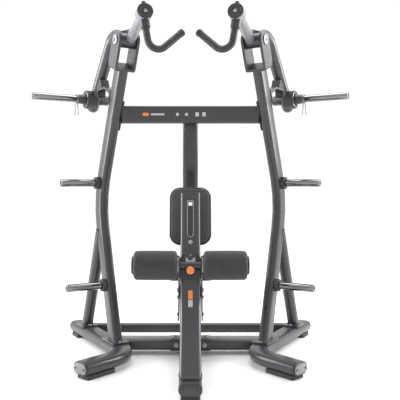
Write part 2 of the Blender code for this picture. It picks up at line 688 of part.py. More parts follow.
def add_front_arms(arms, materials):
    """The tube from the hub forward, with the spindle, retaining disc and bolt that carry the handle."""
    disc_back = ARM_REACH - DISC_THICKNESS
    shoulder = disc_back - BARREL_LENGTH - 2 * RUNNING_GAP
    profile = [
        (ARM_REACH + 0.004, 0),
        (ARM_REACH + 0.004, 0.009),
        (ARM_REACH, 0.009),
        (ARM_REACH, DISC_RADIUS - 0.003),
        (ARM_REACH - 0.003, DISC_RADIUS),
        (disc_back, DISC_RADIUS),
        (disc_back, SPINDLE_RADIUS),
        (shoulder, SPINDLE_RADIUS),
        (shoulder, ARM_RADIUS),
        (0.030, ARM_RADIUS),
        (0.030, ARM_RADIUS - TUBE_WALL),
        (shoulder - 0.008, ARM_RADIUS - TUBE_WALL),
        (shoulder - 0.008, 0),
    ]
    forward = Matrix.Rotation(-math.pi / 2, 4, "Z")
    arm = moved(turned(profile), arm_place() @ forward)
    reach = HUB_RADIUS + GAP
    hub = turned([(-0.2, 0), (-0.2, reach), (0.2, reach), (0.2, 0)], 2 * ROUND_SIDES)
    along = LEVER_CORNER.normalized()
    lever = swept([Vector(), along * 0.2], circle(LEVER_RADIUS + GAP), ACROSS)
    add_pair("front_arm", cut(arm, hub, lever), arms, materials["silver_paint"])


def arm_place():
    """Frame of a front arm: origin where it crosses the hub, -y along the arm."""
    turn = Matrix.Rotation(ARM_YAW, 4, "Z") @ Matrix.Rotation(-ARM_PITCH, 4, "X")
    return Matrix.Translation(ARM_ROOT) @ turn


def handle_path():
    return bent_path(HANDLE_TOP, HANDLE_CORNER, HANDLE_TIP, HANDLE_BEND_RADIUS)


def shortened(path, start, end):
    """The path with the given lengths taken off its first and last straights."""
    first, last = (path[1] - path[0]).normalized(), (path[-1] - path[-2]).normalized()
    return [path[0] + first * start, *path[1:-1], path[-1] - last * end]


def add_handles(handles, materials):
    """A barrel that swivels on the arm's spindle, the hooked bar welded to it and the bar's rubber grip."""
    bore, half = SPINDLE_RADIUS + RUNNING_GAP, BARREL_LENGTH / 2
    barrel = turned(
        [(-half, bore), (-half, BARREL_RADIUS), (half, BARREL_RADIUS), (half, bore)], ring=True
    )
    barrel = moved(barrel, Matrix.Rotation(-math.pi / 2, 4, "Z"))
    path = handle_path()
    down = (path[1] - path[0]).normalized()
    side = BACK
    core = swept(shortened(path, 0.0, TIP_LENGTH / 2), circle(CORE_RADIUS, SMALL_SIDES), side)
    collar_path = [HANDLE_TOP, HANDLE_TOP + down * (HANDLE_COLLAR_END + HANDLE_TOP.z)]
    collar = swept(collar_path, circle(HANDLE_COLLAR_RADIUS, ROUND_SIDES), side)
    along = (path[-1] - path[-2]).normalized()
    tip = swept([path[-1] - along * TIP_LENGTH, path[-1]], circle(GRIP_RADIUS, SMALL_SIDES), side)
    stud = moved(
        turned([(0.035, 0), (0.035, STUD_RADIUS), (STUD_TOP, STUD_RADIUS), (STUD_TOP, 0)], 12),
        Matrix.Rotation(-math.pi / 2, 4, "Y"),
    )
    spindle = moved(
        turned([(-0.05, 0), (-0.05, bore), (0.05, bore), (0.05, 0)]), Matrix.Rotation(math.pi / 2, 4, "Z")
    )
    bar = cut(joined(barrel, collar, core, tip, stud), spindle)
    add_pair("handle_bar", bar, handles, materials["graphite_paint"])

    start = HANDLE_COLLAR_END + HANDLE_TOP.z + GAP
    grip_path = shortened(path, start, TIP_LENGTH + GAP)
    outline = circle(GRIP_RADIUS, SMALL_SIDES)
    inside = circle(CORE_RADIUS + GAP, SMALL_SIDES)
    add_pair("handle_grip", swept(grip_path, outline, side, inside), handles, materials["black_rubber"])


def add_lever_stops(pivots, materials):
    """A looped bracket on the back of each upright, and the rubber wedge that the lever rests on."""
    up, rear = upright_axis_up(), Vector((0.0, math.cos(UPPER_LEAN), math.sin(UPPER_LEAN)))

    def on_upright(drop, out):
        """A point this far down the upright from the pivot and this far behind its rear face."""
        return rear * (UPRIGHT_DEPTH / 2 + out) - up * drop

    top_z, low_z, end_y = -0.2402, -0.312, 0.388
    outline = [
        on_upright(0.318, GAP),
        on_upright(0.400, GAP),
        on_upright(0.400, STOP_PLATE),
        *in_plane(((end_y - 0.030, low_z), (end_y, low_z + 0.020), (end_y, top_z), (0.270, top_z))),
        on_upright(0.318, STOP_PLATE),
    ]
    window = [
        on_upright(0.345, STOP_PLATE + 0.006),
        on_upright(0.372, STOP_PLATE + 0.006),
        *in_plane(((end_y - 0.034, low_z + 0.011), (end_y - STOP_PLATE, low_z + 0.024))),
        *in_plane(((end_y - STOP_PLATE, top_z - 0.012), (0.272, top_z - 0.012))),
    ]
    half = ACROSS * STOP_HALF_WIDTH
    loop = prism([point - half for point in outline], half * 2)
    hole = prism([point - half * 1.5 for point in window], half * 3)
    add_pair("stop_bracket", cut(loop, hole), pivots, materials["graphite_paint"])

    along = (LEVER_END - LEVER_CORNER).normalized()
    outward = Vector((0.0, along.z, -along.y))  # from the lever towards the upright
    if outward.y > 0:
        outward = -outward
    face = LEVER_CORNER + outward * (LEVER_RADIUS + GAP)

    def on_lever(height):
        """The point of the lever's lower face at this height."""
        return face + along * ((height - face.z) / along.z)

    base = top_z + GAP
    wedge = [
        Vector((0.0, 0.312, base)),
        Vector((0.0, on_lever(base).y - 0.004, base)),
        on_lever(base + 0.004),
        on_lever(base + 0.055),
        on_lever(base + 0.055) - BACK * 0.018,
    ]
    bumper = prism([point - half for point in wedge], half * 2)
    add_pair("stop_bumper", bumper, pivots, materials["black_rubber"])


# ---------------------------------------------------------------- cross members
def side_matrix():
    """The right-hand side frame's place in the machine."""
    return Matrix.Translation(UPRIGHT_FOOT) @ Matrix.Rotation(-SPLAY, 4, "Z")


def side_normal():
    """Outward direction square to the right-hand side frame."""
    return Matrix.Rotation(-SPLAY, 3, "Z") @ ACROSS


def add_top_beam(machine, materials):
    """The beam between the uprights, with a bolted flange at each end that follows the upright's lean."""
    face = side_matrix() @ Vector((-UPRIGHT_WIDTH / 2 - GAP - BEAM_FLANGE_THICKNESS / 2, 0, 0))
    normal = side_normal()
    reach = face.x - (BEAM_Y - face.y) * normal.y / normal.x
    ends = [Vector((x, BEAM_Y, BEAM_Z)) for x in (-reach, reach)]
    other = Vector((-normal.x, normal.y, 0.0))
    beam = oval_tube(
        ends, BEAM_DEPTH, BEAM_HEIGHT, 0.012, UP, start_normal=other, end_normal=normal
    )
    upper = side_matrix().inverted() @ ends[1]
    outline = rounded_rectangle(BEAM_FLANGE_WIDTH, BEAM_FLANGE_LENGTH, 0.008)
    inner = -UPRIGHT_WIDTH / 2 - GAP - BEAM_FLANGE_THICKNESS
    lean = Matrix.Rotation(UPPER_LEAN, 4, "X")
    middle = Vector((0.0, upper.y, BEAM_Z))
    points = [middle + lean @ Vector((0.0, p.x, p.y)) + ACROSS * inner for p in outline]
    flange = prism(points, ACROSS * BEAM_FLANGE_THICKNESS)
    bolts = []
    for end in (-1, 1):
        spot = middle + lean @ Vector((0.0, 0.0, end * (BEAM_FLANGE_LENGTH / 2 - 0.016))) + ACROSS * inner
        bolts.append(bolt_head(spot, -ACROSS))
    flange = moved(joined(flange, *bolts), side_matrix())
    beam = joined(beam, flange, mirrored(flange))
    vent = turned([(-0.02, 0), (-0.02, 0.006), (0.02, 0.006), (0.02, 0)], 8)
    vent_place = Matrix.Translation((0.30, BEAM_Y, BEAM_Z - BEAM_HEIGHT / 2))
    vent = moved(vent, vent_place @ Matrix.Rotation(math.pi / 2, 4, "Y"))
    add_part("top_cross_beam", cut(beam, vent), machine, materials["graphite_paint"])


def add_rear_column(machine, materials):
    """The bent column from the rear cross member up to the back of the top beam."""
    path = bent_path(COLUMN_FOOT + UP * 0.006, COLUMN_KNEE, COLUMN_TOP, COLUMN_BEND_RADIUS)
    tube = oval_tube(path, COLUMN_DEPTH, COLUMN_WIDTH, COLUMN_CORNER, ACROSS, start_normal=UP)
    beam_back = BEAM_Y + BEAM_DEPTH / 2 + GAP
    mount = block((-0.040, beam_back, BEAM_Z - 0.045), (0.040, COLUMN_TOP.y - 0.020, BEAM_Z + 0.040))
    inside = oval_core(path)
    foot_bottom = REAR_CROSS_Z + REAR_CROSS_SIZE / 2 + GAP
    plate = flat_plate(0.150, 0.090, 0.010, foot_bottom, foot_bottom + 0.010, (0.0, COLUMN_FOOT.y))
    bolts = [bolt_head(Vector((x, COLUMN_FOOT.y, foot_bottom + 0.010)), UP) for x in (-0.062, 0.062)]
    column = joined(tube, cut(mount, inside), plate, *bolts)
    add_part("rear_column", column, machine, materials["graphite_paint"])


def oval_core(path):
    """The hollow inside of the rear column, to keep its mount out of it."""
    outline = rounded_rectangle(
        COLUMN_DEPTH - 2 * TUBE_WALL, COLUMN_WIDTH - 2 * TUBE_WALL, COLUMN_CORNER - TUBE_WALL
    )
    return swept(path, outline, ACROSS)


def add_rear_cross_member(machine, materials):
    """A square tube between the two base rails, coped over their sides."""
    half = 0.70
    ends = [Vector((x, REAR_CROSS_Y, REAR_CROSS_Z)) for x in (-half, half)]
    tube = oval_tube(ends, REAR_CROSS_SIZE, REAR_CROSS_SIZE, 0.010, UP)
    rail = moved(rail_cutter(), side_matrix())
    outside = block((0.70, 0.3, -0.1), (1.2, 1.0, 0.3))
    tube = cut(tube, rail, mirrored(rail), outside, mirrored(outside))
    add_part("rear_cross_member", tube, machine, materials["graphite_paint"])


def front_cross_member():
    """Right half of the front cross member: coped onto the rail, saddled and bolted beside the foot tube."""
    ends = [Vector((SADDLE_INNER, FRONT_CROSS_Y, RAIL_MIDDLE)), Vector((0.46, FRONT_CROSS_Y, RAIL_MIDDLE))]
    tube = oval_tube(ends, FRONT_CROSS_DEPTH, RAIL_HEIGHT - 0.002, 0.020, UP)
    tube = cut(tube, moved(rail_cutter(), side_matrix()))
    saddle_ends = [Vector((x, FRONT_CROSS_Y, RAIL_MIDDLE)) for x in (SADDLE_INNER + 0.001, SADDLE_OUTER)]
    outer = rounded_rectangle(FRONT_CROSS_DEPTH + 0.008, RAIL_HEIGHT + 0.008, 0.024)
    inner = rounded_rectangle(FRONT_CROSS_DEPTH - 0.001, RAIL_HEIGHT - 0.003, 0.0195)
    saddle = swept(saddle_ends, outer, UP, inner)
    front = FRONT_CROSS_Y - FRONT_CROSS_DEPTH / 2 - 0.004
    bolts = [
        bolt_head(Vector((0.088, front, RAIL_MIDDLE)), -BACK),
        bolt_head(Vector((0.098, FRONT_CROSS_Y, RAIL_TOP + 0.004)), UP),
    ]
    return joined(tube, saddle, *bolts)


# ---------------------------------------------------------------- centre: foot tube, post, pads
def add_foot_tube(machine, materials):
    """The foot tube on the centre line, its cap and its rubber foot."""
    ends = [Vector((0.0, y, RAIL_MIDDLE)) for y in (FOOT_TUBE_FRONT + CAP_THICKNESS + GAP, FOOT_TUBE_REAR)]
    tube = oval_tube(ends, FOOT_TUBE_WIDTH, RAIL_HEIGHT, RAIL_CORNER, UP)
    add_part("centre_foot_tube", tube, machine, materials["graphite_paint"])
    turn = Matrix.Rotation(math.pi, 4, "Z")
    cap = moved(end_cap(), Matrix.Translation((0, FOOT_TUBE_FRONT + CAP_THICKNESS, 0)) @ turn)
    add_part("centre_end_cap", cap, machine, materials["black_plastic"])
    pad = moved(rubber_pad(PAD_WIDTH, 0.160), Matrix.Translation((0, FOOT_TUBE_FRONT + 0.018, 0)) @ turn)
    add_part("centre_foot", pad, machine, materials["black_rubber"])


def post_direction(lean):
    return Vector((0.0, math.sin(lean), math.cos(lean)))


def post_point(z):
    """A point of the centre line of the post's upper part."""
    up = post_direction(POST_UPPER_LEAN)
    return POST_BEND + up * ((z - POST_BEND.z) / up.z)


def post_frame(z):
    """Frame on the post's upper part at this height: z up the post, y square to it and backwards."""
    return Matrix.Translation(post_point(z)) @ Matrix.Rotation(-POST_UPPER_LEAN, 4, "X")


def add_front_post(machine, materials):
    """The bent post with its foot plate, its lid and the mount for the chest pad."""
    lower = post_direction(POST_LOWER_LEAN)
    foot_z = FOOT_PLATE_TOP - 0.005
    foot = POST_BEND - lower * ((POST_BEND.z - foot_z) / lower.z)
    top = post_point(POST_TOP_Z)
    path = bent_path(foot, POST_BEND, top, POST_BEND_RADIUS)
    tube = oval_tube(path, POST_DEPTH, POST_WIDTH, POST_CORNER, ACROSS, start_normal=UP)
    outline = rounded_rectangle(POST_WIDTH - 0.002, POST_DEPTH - 0.002, POST_CORNER - 0.001)
    lid = prism([Vector((p.x, p.y, -0.003)) for p in outline], UP * 0.006)
    lid = moved(lid, post_frame(POST_TOP_Z))
    bottom = RAIL_TOP + GAP
    plate = flat_plate(0.116, 0.135, 0.010, bottom, FOOT_PLATE_TOP, (0.0, foot.y + 0.014))
    drain = flat_plate(0.016, 0.016, 0.0075, 0.0, FOOT_PLATE_TOP + 0.010, (0.0, foot.y))
    mount_outline = rounded_rectangle(0.090, 0.200, 0.010)
    start = POST_DEPTH / 2 - 0.002
    mount = prism([Vector((p.x, start, p.y)) for p in mount_outline], BACK * (PAD_MOUNT_THICKNESS + 0.002))
    mount = moved(mount, post_frame(CHEST_PAD_Z))
    bolt = bolt_head(Vector((0.0, -POST_DEPTH / 2, 0.0)), -BACK, depth=0.002)
    bolt = moved(bolt, post_frame(POST_BOLT_Z))
    post = cut(joined(tube, lid, plate, mount, bolt), drain)
    add_part("front_post", post, machine, materials["graphite_paint"])


def add_post_cover(machine, materials):
    """The long moulded strip on the post's front face: square at the top and round at the bottom."""
    half, length = COVER_WIDTH / 2, COVER_LENGTH / 2
    arc = [math.pi + math.pi * step / 8 for step in range(9)]
    outline = [(half, length), (-half, length)]
    outline += [(half * math.cos(a), half - length + half * math.sin(a)) for a in arc]
    start = -POST_DEPTH / 2 - GAP
    strip = prism([Vector((x, start, z)) for x, z in outline], -BACK * COVER_THICKNESS)
    add_part("post_cover", moved(strip, post_frame(COVER_MIDDLE_Z)), machine, materials["black_plastic"])


def add_chest_pad(machine, materials):
    front = POST_DEPTH / 2 + PAD_MOUNT_THICKNESS + GAP
    outline = rounded_rectangle(CHEST_PAD_WIDTH, CHEST_PAD_HEIGHT, CHEST_PAD_CORNER, 5)
    small = rounded_rectangle(CHEST_PAD_WIDTH - 0.030, CHEST_PAD_HEIGHT - 0.030, CHEST_PAD_CORNER - 0.015, 5)
    shape = bmesh.new()
    layers = ((small, 0.0), (outline, 0.012), (outline, CHEST_PAD_THICKNESS - 0.015))
    layers += ((small, CHEST_PAD_THICKNESS),)
    rings = [[Vector((p.x, front + depth, p.y)) for p in loop] for loop, depth in layers]
    corners = add_rings(shape, rings)
    shape.faces.new(corners[0][::-1])
    shape.faces.new(corners[-1])
    pad = moved(finished_mesh(shape), post_frame(CHEST_PAD_Z))
    add_part("chest_pad", pad, machine, materials["black_upholstery"])


def add_seat(machine, materials):
    middle = (0.0, SEAT_FRONT + SEAT_DEPTH / 2)
    pad = flat_plate(SEAT_WIDTH, SEAT_DEPTH, SEAT_CORNER, SEAT_BOTTOM, SEAT_BOTTOM + SEAT_THICKNESS, middle)
    add_part("seat_pad", pad, machine, materials["black_upholstery"])


def add_seat_frame(machine, materials):
    """Seat tube held by two side plates on the post, with a leg down to the foot tube."""
    size = 0.060
    width = 2 * (SIDE_PLATE_INNER + 0.0004)
    middle = SEAT_TUBE_BOTTOM + size / 2
    ends = [Vector((0.0, y, middle)) for y in (SEAT_TUBE_FRONT, SEAT_TUBE_REAR)]
    tube = oval_tube(ends, width, size, 0.014, UP)
    top = flat_plate(0.250, 0.250, 0.015, SEAT_BOTTOM - 0.0105, SEAT_BOTTOM - GAP, (0.0, SEAT_FRONT + 0.16))
    leg_foot = Vector((0.0, 0.185, RAIL_TOP + 0.006))
    leg_top = Vector((0.0, 0.170, SEAT_TUBE_BOTTOM + 0.0015))
    leg = oval_tube([leg_foot, leg_top], 0.060, 0.060, 0.010, ACROSS, start_normal=UP, end_normal=UP)
    plate = flat_plate(0.100, 0.100, 0.010, RAIL_TOP + GAP, FOOT_PLATE_TOP, (0.0, leg_foot.y))
    outline = in_plane(
        ((-0.418, 0.338), (-0.352, 0.335), (-0.160, 0.425), (-0.160, 0.485), (-0.262, 0.545),
         (-0.330, 0.541), (-0.352, 0.430))
    )
    sides = []
    for x in (SIDE_PLATE_INNER, -SIDE_PLATE_INNER - SIDE_PLATE_THICKNESS):
        sides.append(prism([point + ACROSS * x for point in outline], ACROSS * SIDE_PLATE_THICKNESS))
    bolts = []
    for y, z in ((-0.305, 0.487), (-0.320, 0.448), (-0.372, 0.365), (-0.200, 0.460)):
        for x in (-1, 1):
            spot = Vector((x * (SIDE_PLATE_INNER + SIDE_PLATE_THICKNESS), y, z))
            bolts.append(bolt_head(spot, ACROSS * x))
    frame = cut(joined(tube, *sides, top, leg, plate, *bolts), drain_hole(leg_foot.y))
    add_part("seat_frame", frame, machine, materials["graphite_paint"])


# ---------------------------------------------------------------- knee rollers
def add_roller_carriage(slider, materials):
    """The carriage on the post: a front plate, and two cheeks that hold the rollers' axle."""
    post_front = AXLE_FORWARD - POST_DEPTH / 2  # distance from the axle back to the post's face
    plate = block((-0.0600, post_front - 0.009, -0.070), (0.0600, post_front - 0.001, 0.046))
    notch = turned([(-0.05, 0), (-0.05, 0.020), (0.05, 0.020), (0.05, 0)])
    notch = moved(notch, Matrix.Translation((0, post_front, 0.052)) @ Matrix.Rotation(math.pi / 2, 4, "Z"))
    arc = [math.pi / 2 + math.pi * step / 10 for step in range(11)]
    outline = [(CHEEK_RADIUS * math.cos(a), CHEEK_RADIUS * math.sin(a)) for a in arc]
    outline += [(post_front + 0.040, -CHEEK_RADIUS), (post_front + 0.040, CHEEK_RADIUS)]
    cheeks = []
    for x in (CHEEK_INNER, -CHEEK_OUTER):
        points = [Vector((x, y, z)) for y, z in outline]
        cheeks.append(prism(points, ACROSS * (CHEEK_OUTER - CHEEK_INNER)))
    bore = AXLE_RADIUS + GAP
    axle = turned([(-0.2, 0), (-0.2, bore), (0.2, bore), (0.2, 0)])
    boss = turned([(0.002, 0), (0.002, 0.016), (0.026, 0.014), (0.026, 0)], 16)
    pin_place = Matrix.Translation((0.0, post_front - 0.006, -PIN_DROP))
    pin_place = pin_place @ Matrix.Rotation(-math.pi / 2, 4, "Z")
    boss = moved(boss, pin_place)
    hole_radius = PIN_RADIUS + RUNNING_GAP
    hole = turned([(-0.05, 0), (-0.05, hole_radius), (0.1, hole_radius), (0.1, 0)], SMALL_SIDES)
    hole = moved(hole, pin_place)
    axle_space = turned([(-0.2, 0), (-0.2, bore + 0.001), (0.2, bore + 0.001), (0.2, 0)])
    boss = cut(boss, axle_space)
    body = cut(joined(plate, *cheeks, boss), notch, axle, hole)
    add_part("roller_carriage", body, slider, materials["graphite_paint"])


def add_rollers(slider, spinners, materials):
    end = ROLLER_OUTER - GAP
    axle = turned([(-end, 0), (-end, AXLE_RADIUS), (end, AXLE_RADIUS), (end, 0)])
    add_part("roller_axle", axle, slider, materials["zinc_steel"])
    soft = 0.010
    profile = [
        (ROLLER_INNER, ROLLER_BORE),
        (ROLLER_INNER, ROLLER_RADIUS - soft),
        (ROLLER_INNER + soft * 0.3, ROLLER_RADIUS - soft * 0.3),
        (ROLLER_INNER + soft, ROLLER_RADIUS),
        (ROLLER_OUTER - soft, ROLLER_RADIUS),
        (ROLLER_OUTER - soft * 0.3, ROLLER_RADIUS - soft * 0.3),
        (ROLLER_OUTER, ROLLER_RADIUS - soft),
        (ROLLER_OUTER, ROLLER_BORE),
    ]
    add_pair("roller", turned(profile, 28, ring=True), spinners, materials["black_foam"])
    face = ROLLER_OUTER + RUNNING_GAP
    cap = [
        (face, 0),
        (face, ROLLER_CAP_RADIUS),
        (face + ROLLER_CAP_THICKNESS - 0.003, ROLLER_CAP_RADIUS),
        (face + ROLLER_CAP_THICKNESS, ROLLER_CAP_RADIUS - 0.004),
        (face + ROLLER_CAP_THICKNESS, 0),
    ]
    sliders = {"left": slider, "right": slider}
    add_pair("roller_end_cap", turned(cap), sliders, materials["black_plastic"])


def add_pull_pin(pin, materials):
    """The sprung pull pin: a steel pin through the carriage's boss with a round knob. Its tip is level with
    the back of the carriage's plate."""
    tip = POST_DEPTH / 2 + 0.001 + GAP
    profile = [
        (tip, 0),
        (tip, PIN_RADIUS - 0.001),
        (tip + 0.001, PIN_RADIUS),
        (KNOB_BACK, PIN_RADIUS),
        (KNOB_BACK, KNOB_RADIUS * 0.62),
        (KNOB_BACK + 0.006, KNOB_RADIUS * 0.92),
        (KNOB_BACK + 0.011, KNOB_RADIUS),
        (KNOB_FRONT - 0.005, KNOB_RADIUS * 0.90),
        (KNOB_FRONT, KNOB_RADIUS * 0.60),
        (KNOB_FRONT, 0),
    ]
    forward = Matrix.Rotation(-math.pi / 2, 4, "Z")
    body = moved(turned(profile), Matrix.Translation((0.0, AXLE_FORWARD, 0.0)) @ forward)
    add_part("pull_pin", body, pin, materials["orange_plastic"])


# ---------------------------------------------------------------- assembly
def build():
    clear_scene()
    materials = make_materials()
    machine = add_empty("machine", Matrix.Translation((0.0, DATUM_Y, 0.0)))
    both = {"left": machine, "right": machine}
    sides = add_empties("side_frame", side_matrix(), both)
    pivots = add_empties("pivot", Matrix.Translation(PIVOT), sides)

    add_base_rails(sides, materials)
    add_uprights(sides, materials)
    add_rear_legs(sides, materials)
    add_storage_horns(sides, materials)
    add_pivot_brackets(pivots, materials)
    add_pivot_shafts(pivots, materials)
    add_lever_stops(pivots, materials)

    arms = add_empties("arm", Matrix.Identity(4), pivots)
    add_levers(arms, materials)
    add_front_arms(arms, materials)
    add_weight_horns(arms, materials)
    add_horn_stops(arms, materials)
    collar_place = Matrix.Translation(HORN_CENTRE + ACROSS * COLLAR_START)
    add_spring_collars(add_empties("collar", collar_place, arms), materials)
    barrel_middle = ARM_REACH - DISC_THICKNESS - RUNNING_GAP - BARREL_LENGTH / 2
    handle_place = arm_place() @ Matrix.Translation((0.0, -barrel_middle, 0.0))
    add_handles(add_empties("handle", handle_place, arms), materials)

    add_top_beam(machine, materials)
    add_rear_column(machine, materials)
    add_rear_cross_member(machine, materials)
    add_pair("front_cross_member", front_cross_member(), both, materials["graphite_paint"])
    add_foot_tube(machine, materials)
    add_front_post(machine, materials)
    add_post_cover(machine, materials)
    add_chest_pad(machine, materials)
    add_seat(machine, materials)
    add_seat_frame(machine, materials)

    slider_place = post_frame(AXLE_Z) @ Matrix.Translation((0.0, -AXLE_FORWARD, 0.0))
    slider = add_empty("roller_slide", slider_place, machine)
    add_roller_carriage(slider, materials)
    add_rollers(slider, {"left": slider, "right": slider}, materials)
    pin = add_empty("pin_slide", Matrix.Translation((0.0, 0.0, -PIN_DROP)), slider)
    add_pull_pin(pin, materials)
    bpy.context.view_layer.update()


build()
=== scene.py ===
"""The looks of the lat pulldown machine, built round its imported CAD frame.

Metres, +Z up. Right-hand pieces are built in their own frame, which comes from a joint or a node's box, and
each left-hand piece is the mirror image."""

import json
import math

import bmesh
import bpy
from mathutils import Matrix, Vector, noise
from mathutils.bvhtree import BVHTree


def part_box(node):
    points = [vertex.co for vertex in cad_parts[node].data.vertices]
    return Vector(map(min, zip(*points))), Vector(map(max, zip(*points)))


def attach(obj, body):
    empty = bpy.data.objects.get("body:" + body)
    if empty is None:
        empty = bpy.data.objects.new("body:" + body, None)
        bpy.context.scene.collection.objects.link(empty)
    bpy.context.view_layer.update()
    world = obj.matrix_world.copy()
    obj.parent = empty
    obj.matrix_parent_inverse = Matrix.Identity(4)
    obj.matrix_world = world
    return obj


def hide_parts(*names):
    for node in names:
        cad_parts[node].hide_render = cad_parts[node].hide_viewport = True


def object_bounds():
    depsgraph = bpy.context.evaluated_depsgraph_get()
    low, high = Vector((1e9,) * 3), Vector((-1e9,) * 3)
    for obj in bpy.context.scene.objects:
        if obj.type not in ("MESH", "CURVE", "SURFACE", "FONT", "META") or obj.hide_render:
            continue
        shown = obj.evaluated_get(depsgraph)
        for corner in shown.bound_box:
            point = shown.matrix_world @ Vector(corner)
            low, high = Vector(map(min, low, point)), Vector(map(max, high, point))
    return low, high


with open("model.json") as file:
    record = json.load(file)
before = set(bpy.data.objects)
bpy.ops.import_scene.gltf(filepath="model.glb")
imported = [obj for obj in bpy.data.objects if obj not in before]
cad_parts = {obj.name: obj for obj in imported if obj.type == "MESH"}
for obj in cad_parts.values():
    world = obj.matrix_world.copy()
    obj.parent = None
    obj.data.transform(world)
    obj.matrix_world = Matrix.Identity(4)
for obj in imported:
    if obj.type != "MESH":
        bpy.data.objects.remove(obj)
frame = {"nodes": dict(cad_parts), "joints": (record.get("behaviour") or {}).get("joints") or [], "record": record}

CAD_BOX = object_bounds()
NODES = frame["nodes"]
JOINTS = {joint["name"]: joint for joint in frame["joints"]}
ACROSS, BACK, UP = Vector((1, 0, 0)), Vector((0, 1, 0)), Vector((0, 0, 1))
MIRROR = Matrix.Diagonal((-1.0, 1.0, 1.0, 1.0))
SIDES = {"right": Matrix.Identity(4), "left": MIRROR}


# ---------------------------------------------------------------- frames of the machine's parts
def frame_at(position, x_axis, z_axis):
    """A right-handed frame with these two axes at the position."""
    x, z = x_axis.normalized(), z_axis.normalized()
    turn = Matrix((x, z.cross(x), z)).transposed()
    return Matrix.Translation(position) @ turn.to_4x4()


def middle_of(node):
    low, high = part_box(node)
    return (low + high) / 2


LEVER_JOINT = JOINTS["right_lever_pivot"]
PIVOT = Vector(LEVER_JOINT["pos_m"])
SIDE = frame_at(PIVOT, Vector(LEVER_JOINT["axis"]), UP)  # x outwards, y backwards along the base rail

HANDLE_JOINT = JOINTS["right_handle_swivel"]
SPINDLE_BACK = -Vector(HANDLE_JOINT["axis"]).normalized()
HANDLE_ACROSS = SPINDLE_BACK.cross(UP)
HANDLE = frame_at(Vector(HANDLE_JOINT["pos_m"]), HANDLE_ACROSS, HANDLE_ACROSS.cross(SPINDLE_BACK))

POST_UP = Vector(JOINTS["carriage_slide"]["axis"]).normalized()
CARRIAGE = frame_at(middle_of("roller_axle"), ACROSS, POST_UP)  # on the knee rollers' axle


# ---------------------------------------------------------------- materials
class Finish:
    """One procedural material, whose texture is fixed to the piece."""

    def __init__(self, name, colour, roughness, metallic=0.0):
        self.material = bpy.data.materials.new(name)
        self.material.use_nodes = True
        self.tree = self.material.node_tree
        self.shader = self.tree.nodes["Principled BSDF"]
        self.colour = (*colour, 1.0)
        self.place = self.tree.nodes.new("ShaderNodeTexCoord").outputs["Object"]
        self.height = None
        self.set("Base Color", self.colour)
        self.set("Roughness", roughness)
        self.set("Metallic", metallic)

    def set(self, socket, value):
        self.shader.inputs[socket].default_value = value
        return self

    def node(self, kind, **inputs):
        made = self.tree.nodes.new(kind)
        for key, value in inputs.items():
            socket = made.inputs[key.replace("_", " ")]
            if isinstance(value, bpy.types.NodeSocket):
                self.tree.links.new(value, socket)
            else:
                socket.default_value = value
        return made

    def noise(self, scale, detail=3.0, roughness=0.55, stretch=None):
        place = self.place
        if stretch:
            mapping = self.node("ShaderNodeMapping", Vector=place, Scale=stretch)
            place = mapping.outputs["Vector"]
        made = self.node("ShaderNodeTexNoise", Vector=place, Scale=scale, Detail=detail, Roughness=roughness)
        return made.outputs["Fac"]

    def cells(self, scale, feature="F1"):
        made = self.node("ShaderNodeTexVoronoi", Vector=self.place, Scale=scale)
        made.feature = feature
        return made.outputs["Distance"]

    def spread(self, value, low, high, from_low=0.35, from_high=0.65):
        made = self.node("ShaderNodeMapRange", Value=value)
        for key, number in (("From Min", from_low), ("From Max", from_high), ("To Min", low), ("To Max", high)):
            made.inputs[key].default_value = number
        return made.outputs["Result"]

    def tint(self, value, other, amount=1.0, low=0.35, high=0.65):
        """Mixes the colour towards another where the value is high."""
        mix = self.node("ShaderNodeMix")
        mix.data_type = "RGBA"
        current = self.shader.inputs["Base Color"]
        if current.is_linked:
            self.tree.links.new(current.links[0].from_socket, mix.inputs[6])
        else:
            mix.inputs[6].default_value = self.colour
        mix.inputs[7].default_value = (*other, 1.0)
        self.tree.links.new(self.spread(value, 0.0, amount, low, high), mix.inputs[0])
        self.tree.links.new(mix.outputs[2], current)
        return self

    def rough(self, value, low, high):
        """Roughness that varies with the value."""
        self.tree.links.new(self.spread(value, low, high), self.shader.inputs["Roughness"])
        return self

    def bump(self, value, depth, edge=None):
        """Adds relief of this depth, in metres. An edge radius rounds the piece's sharp edges in the light."""
        made = self.node("ShaderNodeBump", Height=value, Strength=1.0, Distance=depth)
        if self.height:
            self.tree.links.new(self.height, made.inputs["Normal"])
        elif edge:
            rounded = self.node("ShaderNodeBevel", Radius=edge)
            rounded.samples = 4
            self.tree.links.new(rounded.outputs["Normal"], made.inputs["Normal"])
        self.height = made.outputs["Normal"]
        self.tree.links.new(self.height, self.shader.inputs["Normal"])
        return self

    def edge_highlight_and_wear(self, radius, colour, amount):
        """A lighter colour where the surface turns sharply, in patches: partly rubbed wear and partly a painted
        highlight along the edges.
        """
        rounded = self.node("ShaderNodeBevel", Radius=radius)
        rounded.samples = 4
        flat = self.node("ShaderNodeNewGeometry").outputs["Normal"]
        dot = self.node("ShaderNodeVectorMath")
        dot.operation = "DOT_PRODUCT"
        self.tree.links.new(rounded.outputs["Normal"], dot.inputs[0])
        self.tree.links.new(flat, dot.inputs[1])
        bend = self.spread(dot.outputs["Value"], 1.0, 0.0, 0.88, 0.995)
        patchy = self.node("ShaderNodeMath")
        patchy.operation = "MULTIPLY"
        self.tree.links.new(bend, patchy.inputs[0])
        self.tree.links.new(self.spread(self.noise(45.0), 0.35, 1.0), patchy.inputs[1])
        return self.tint(patchy.outputs["Value"], colour, amount, 0.0, 1.0)


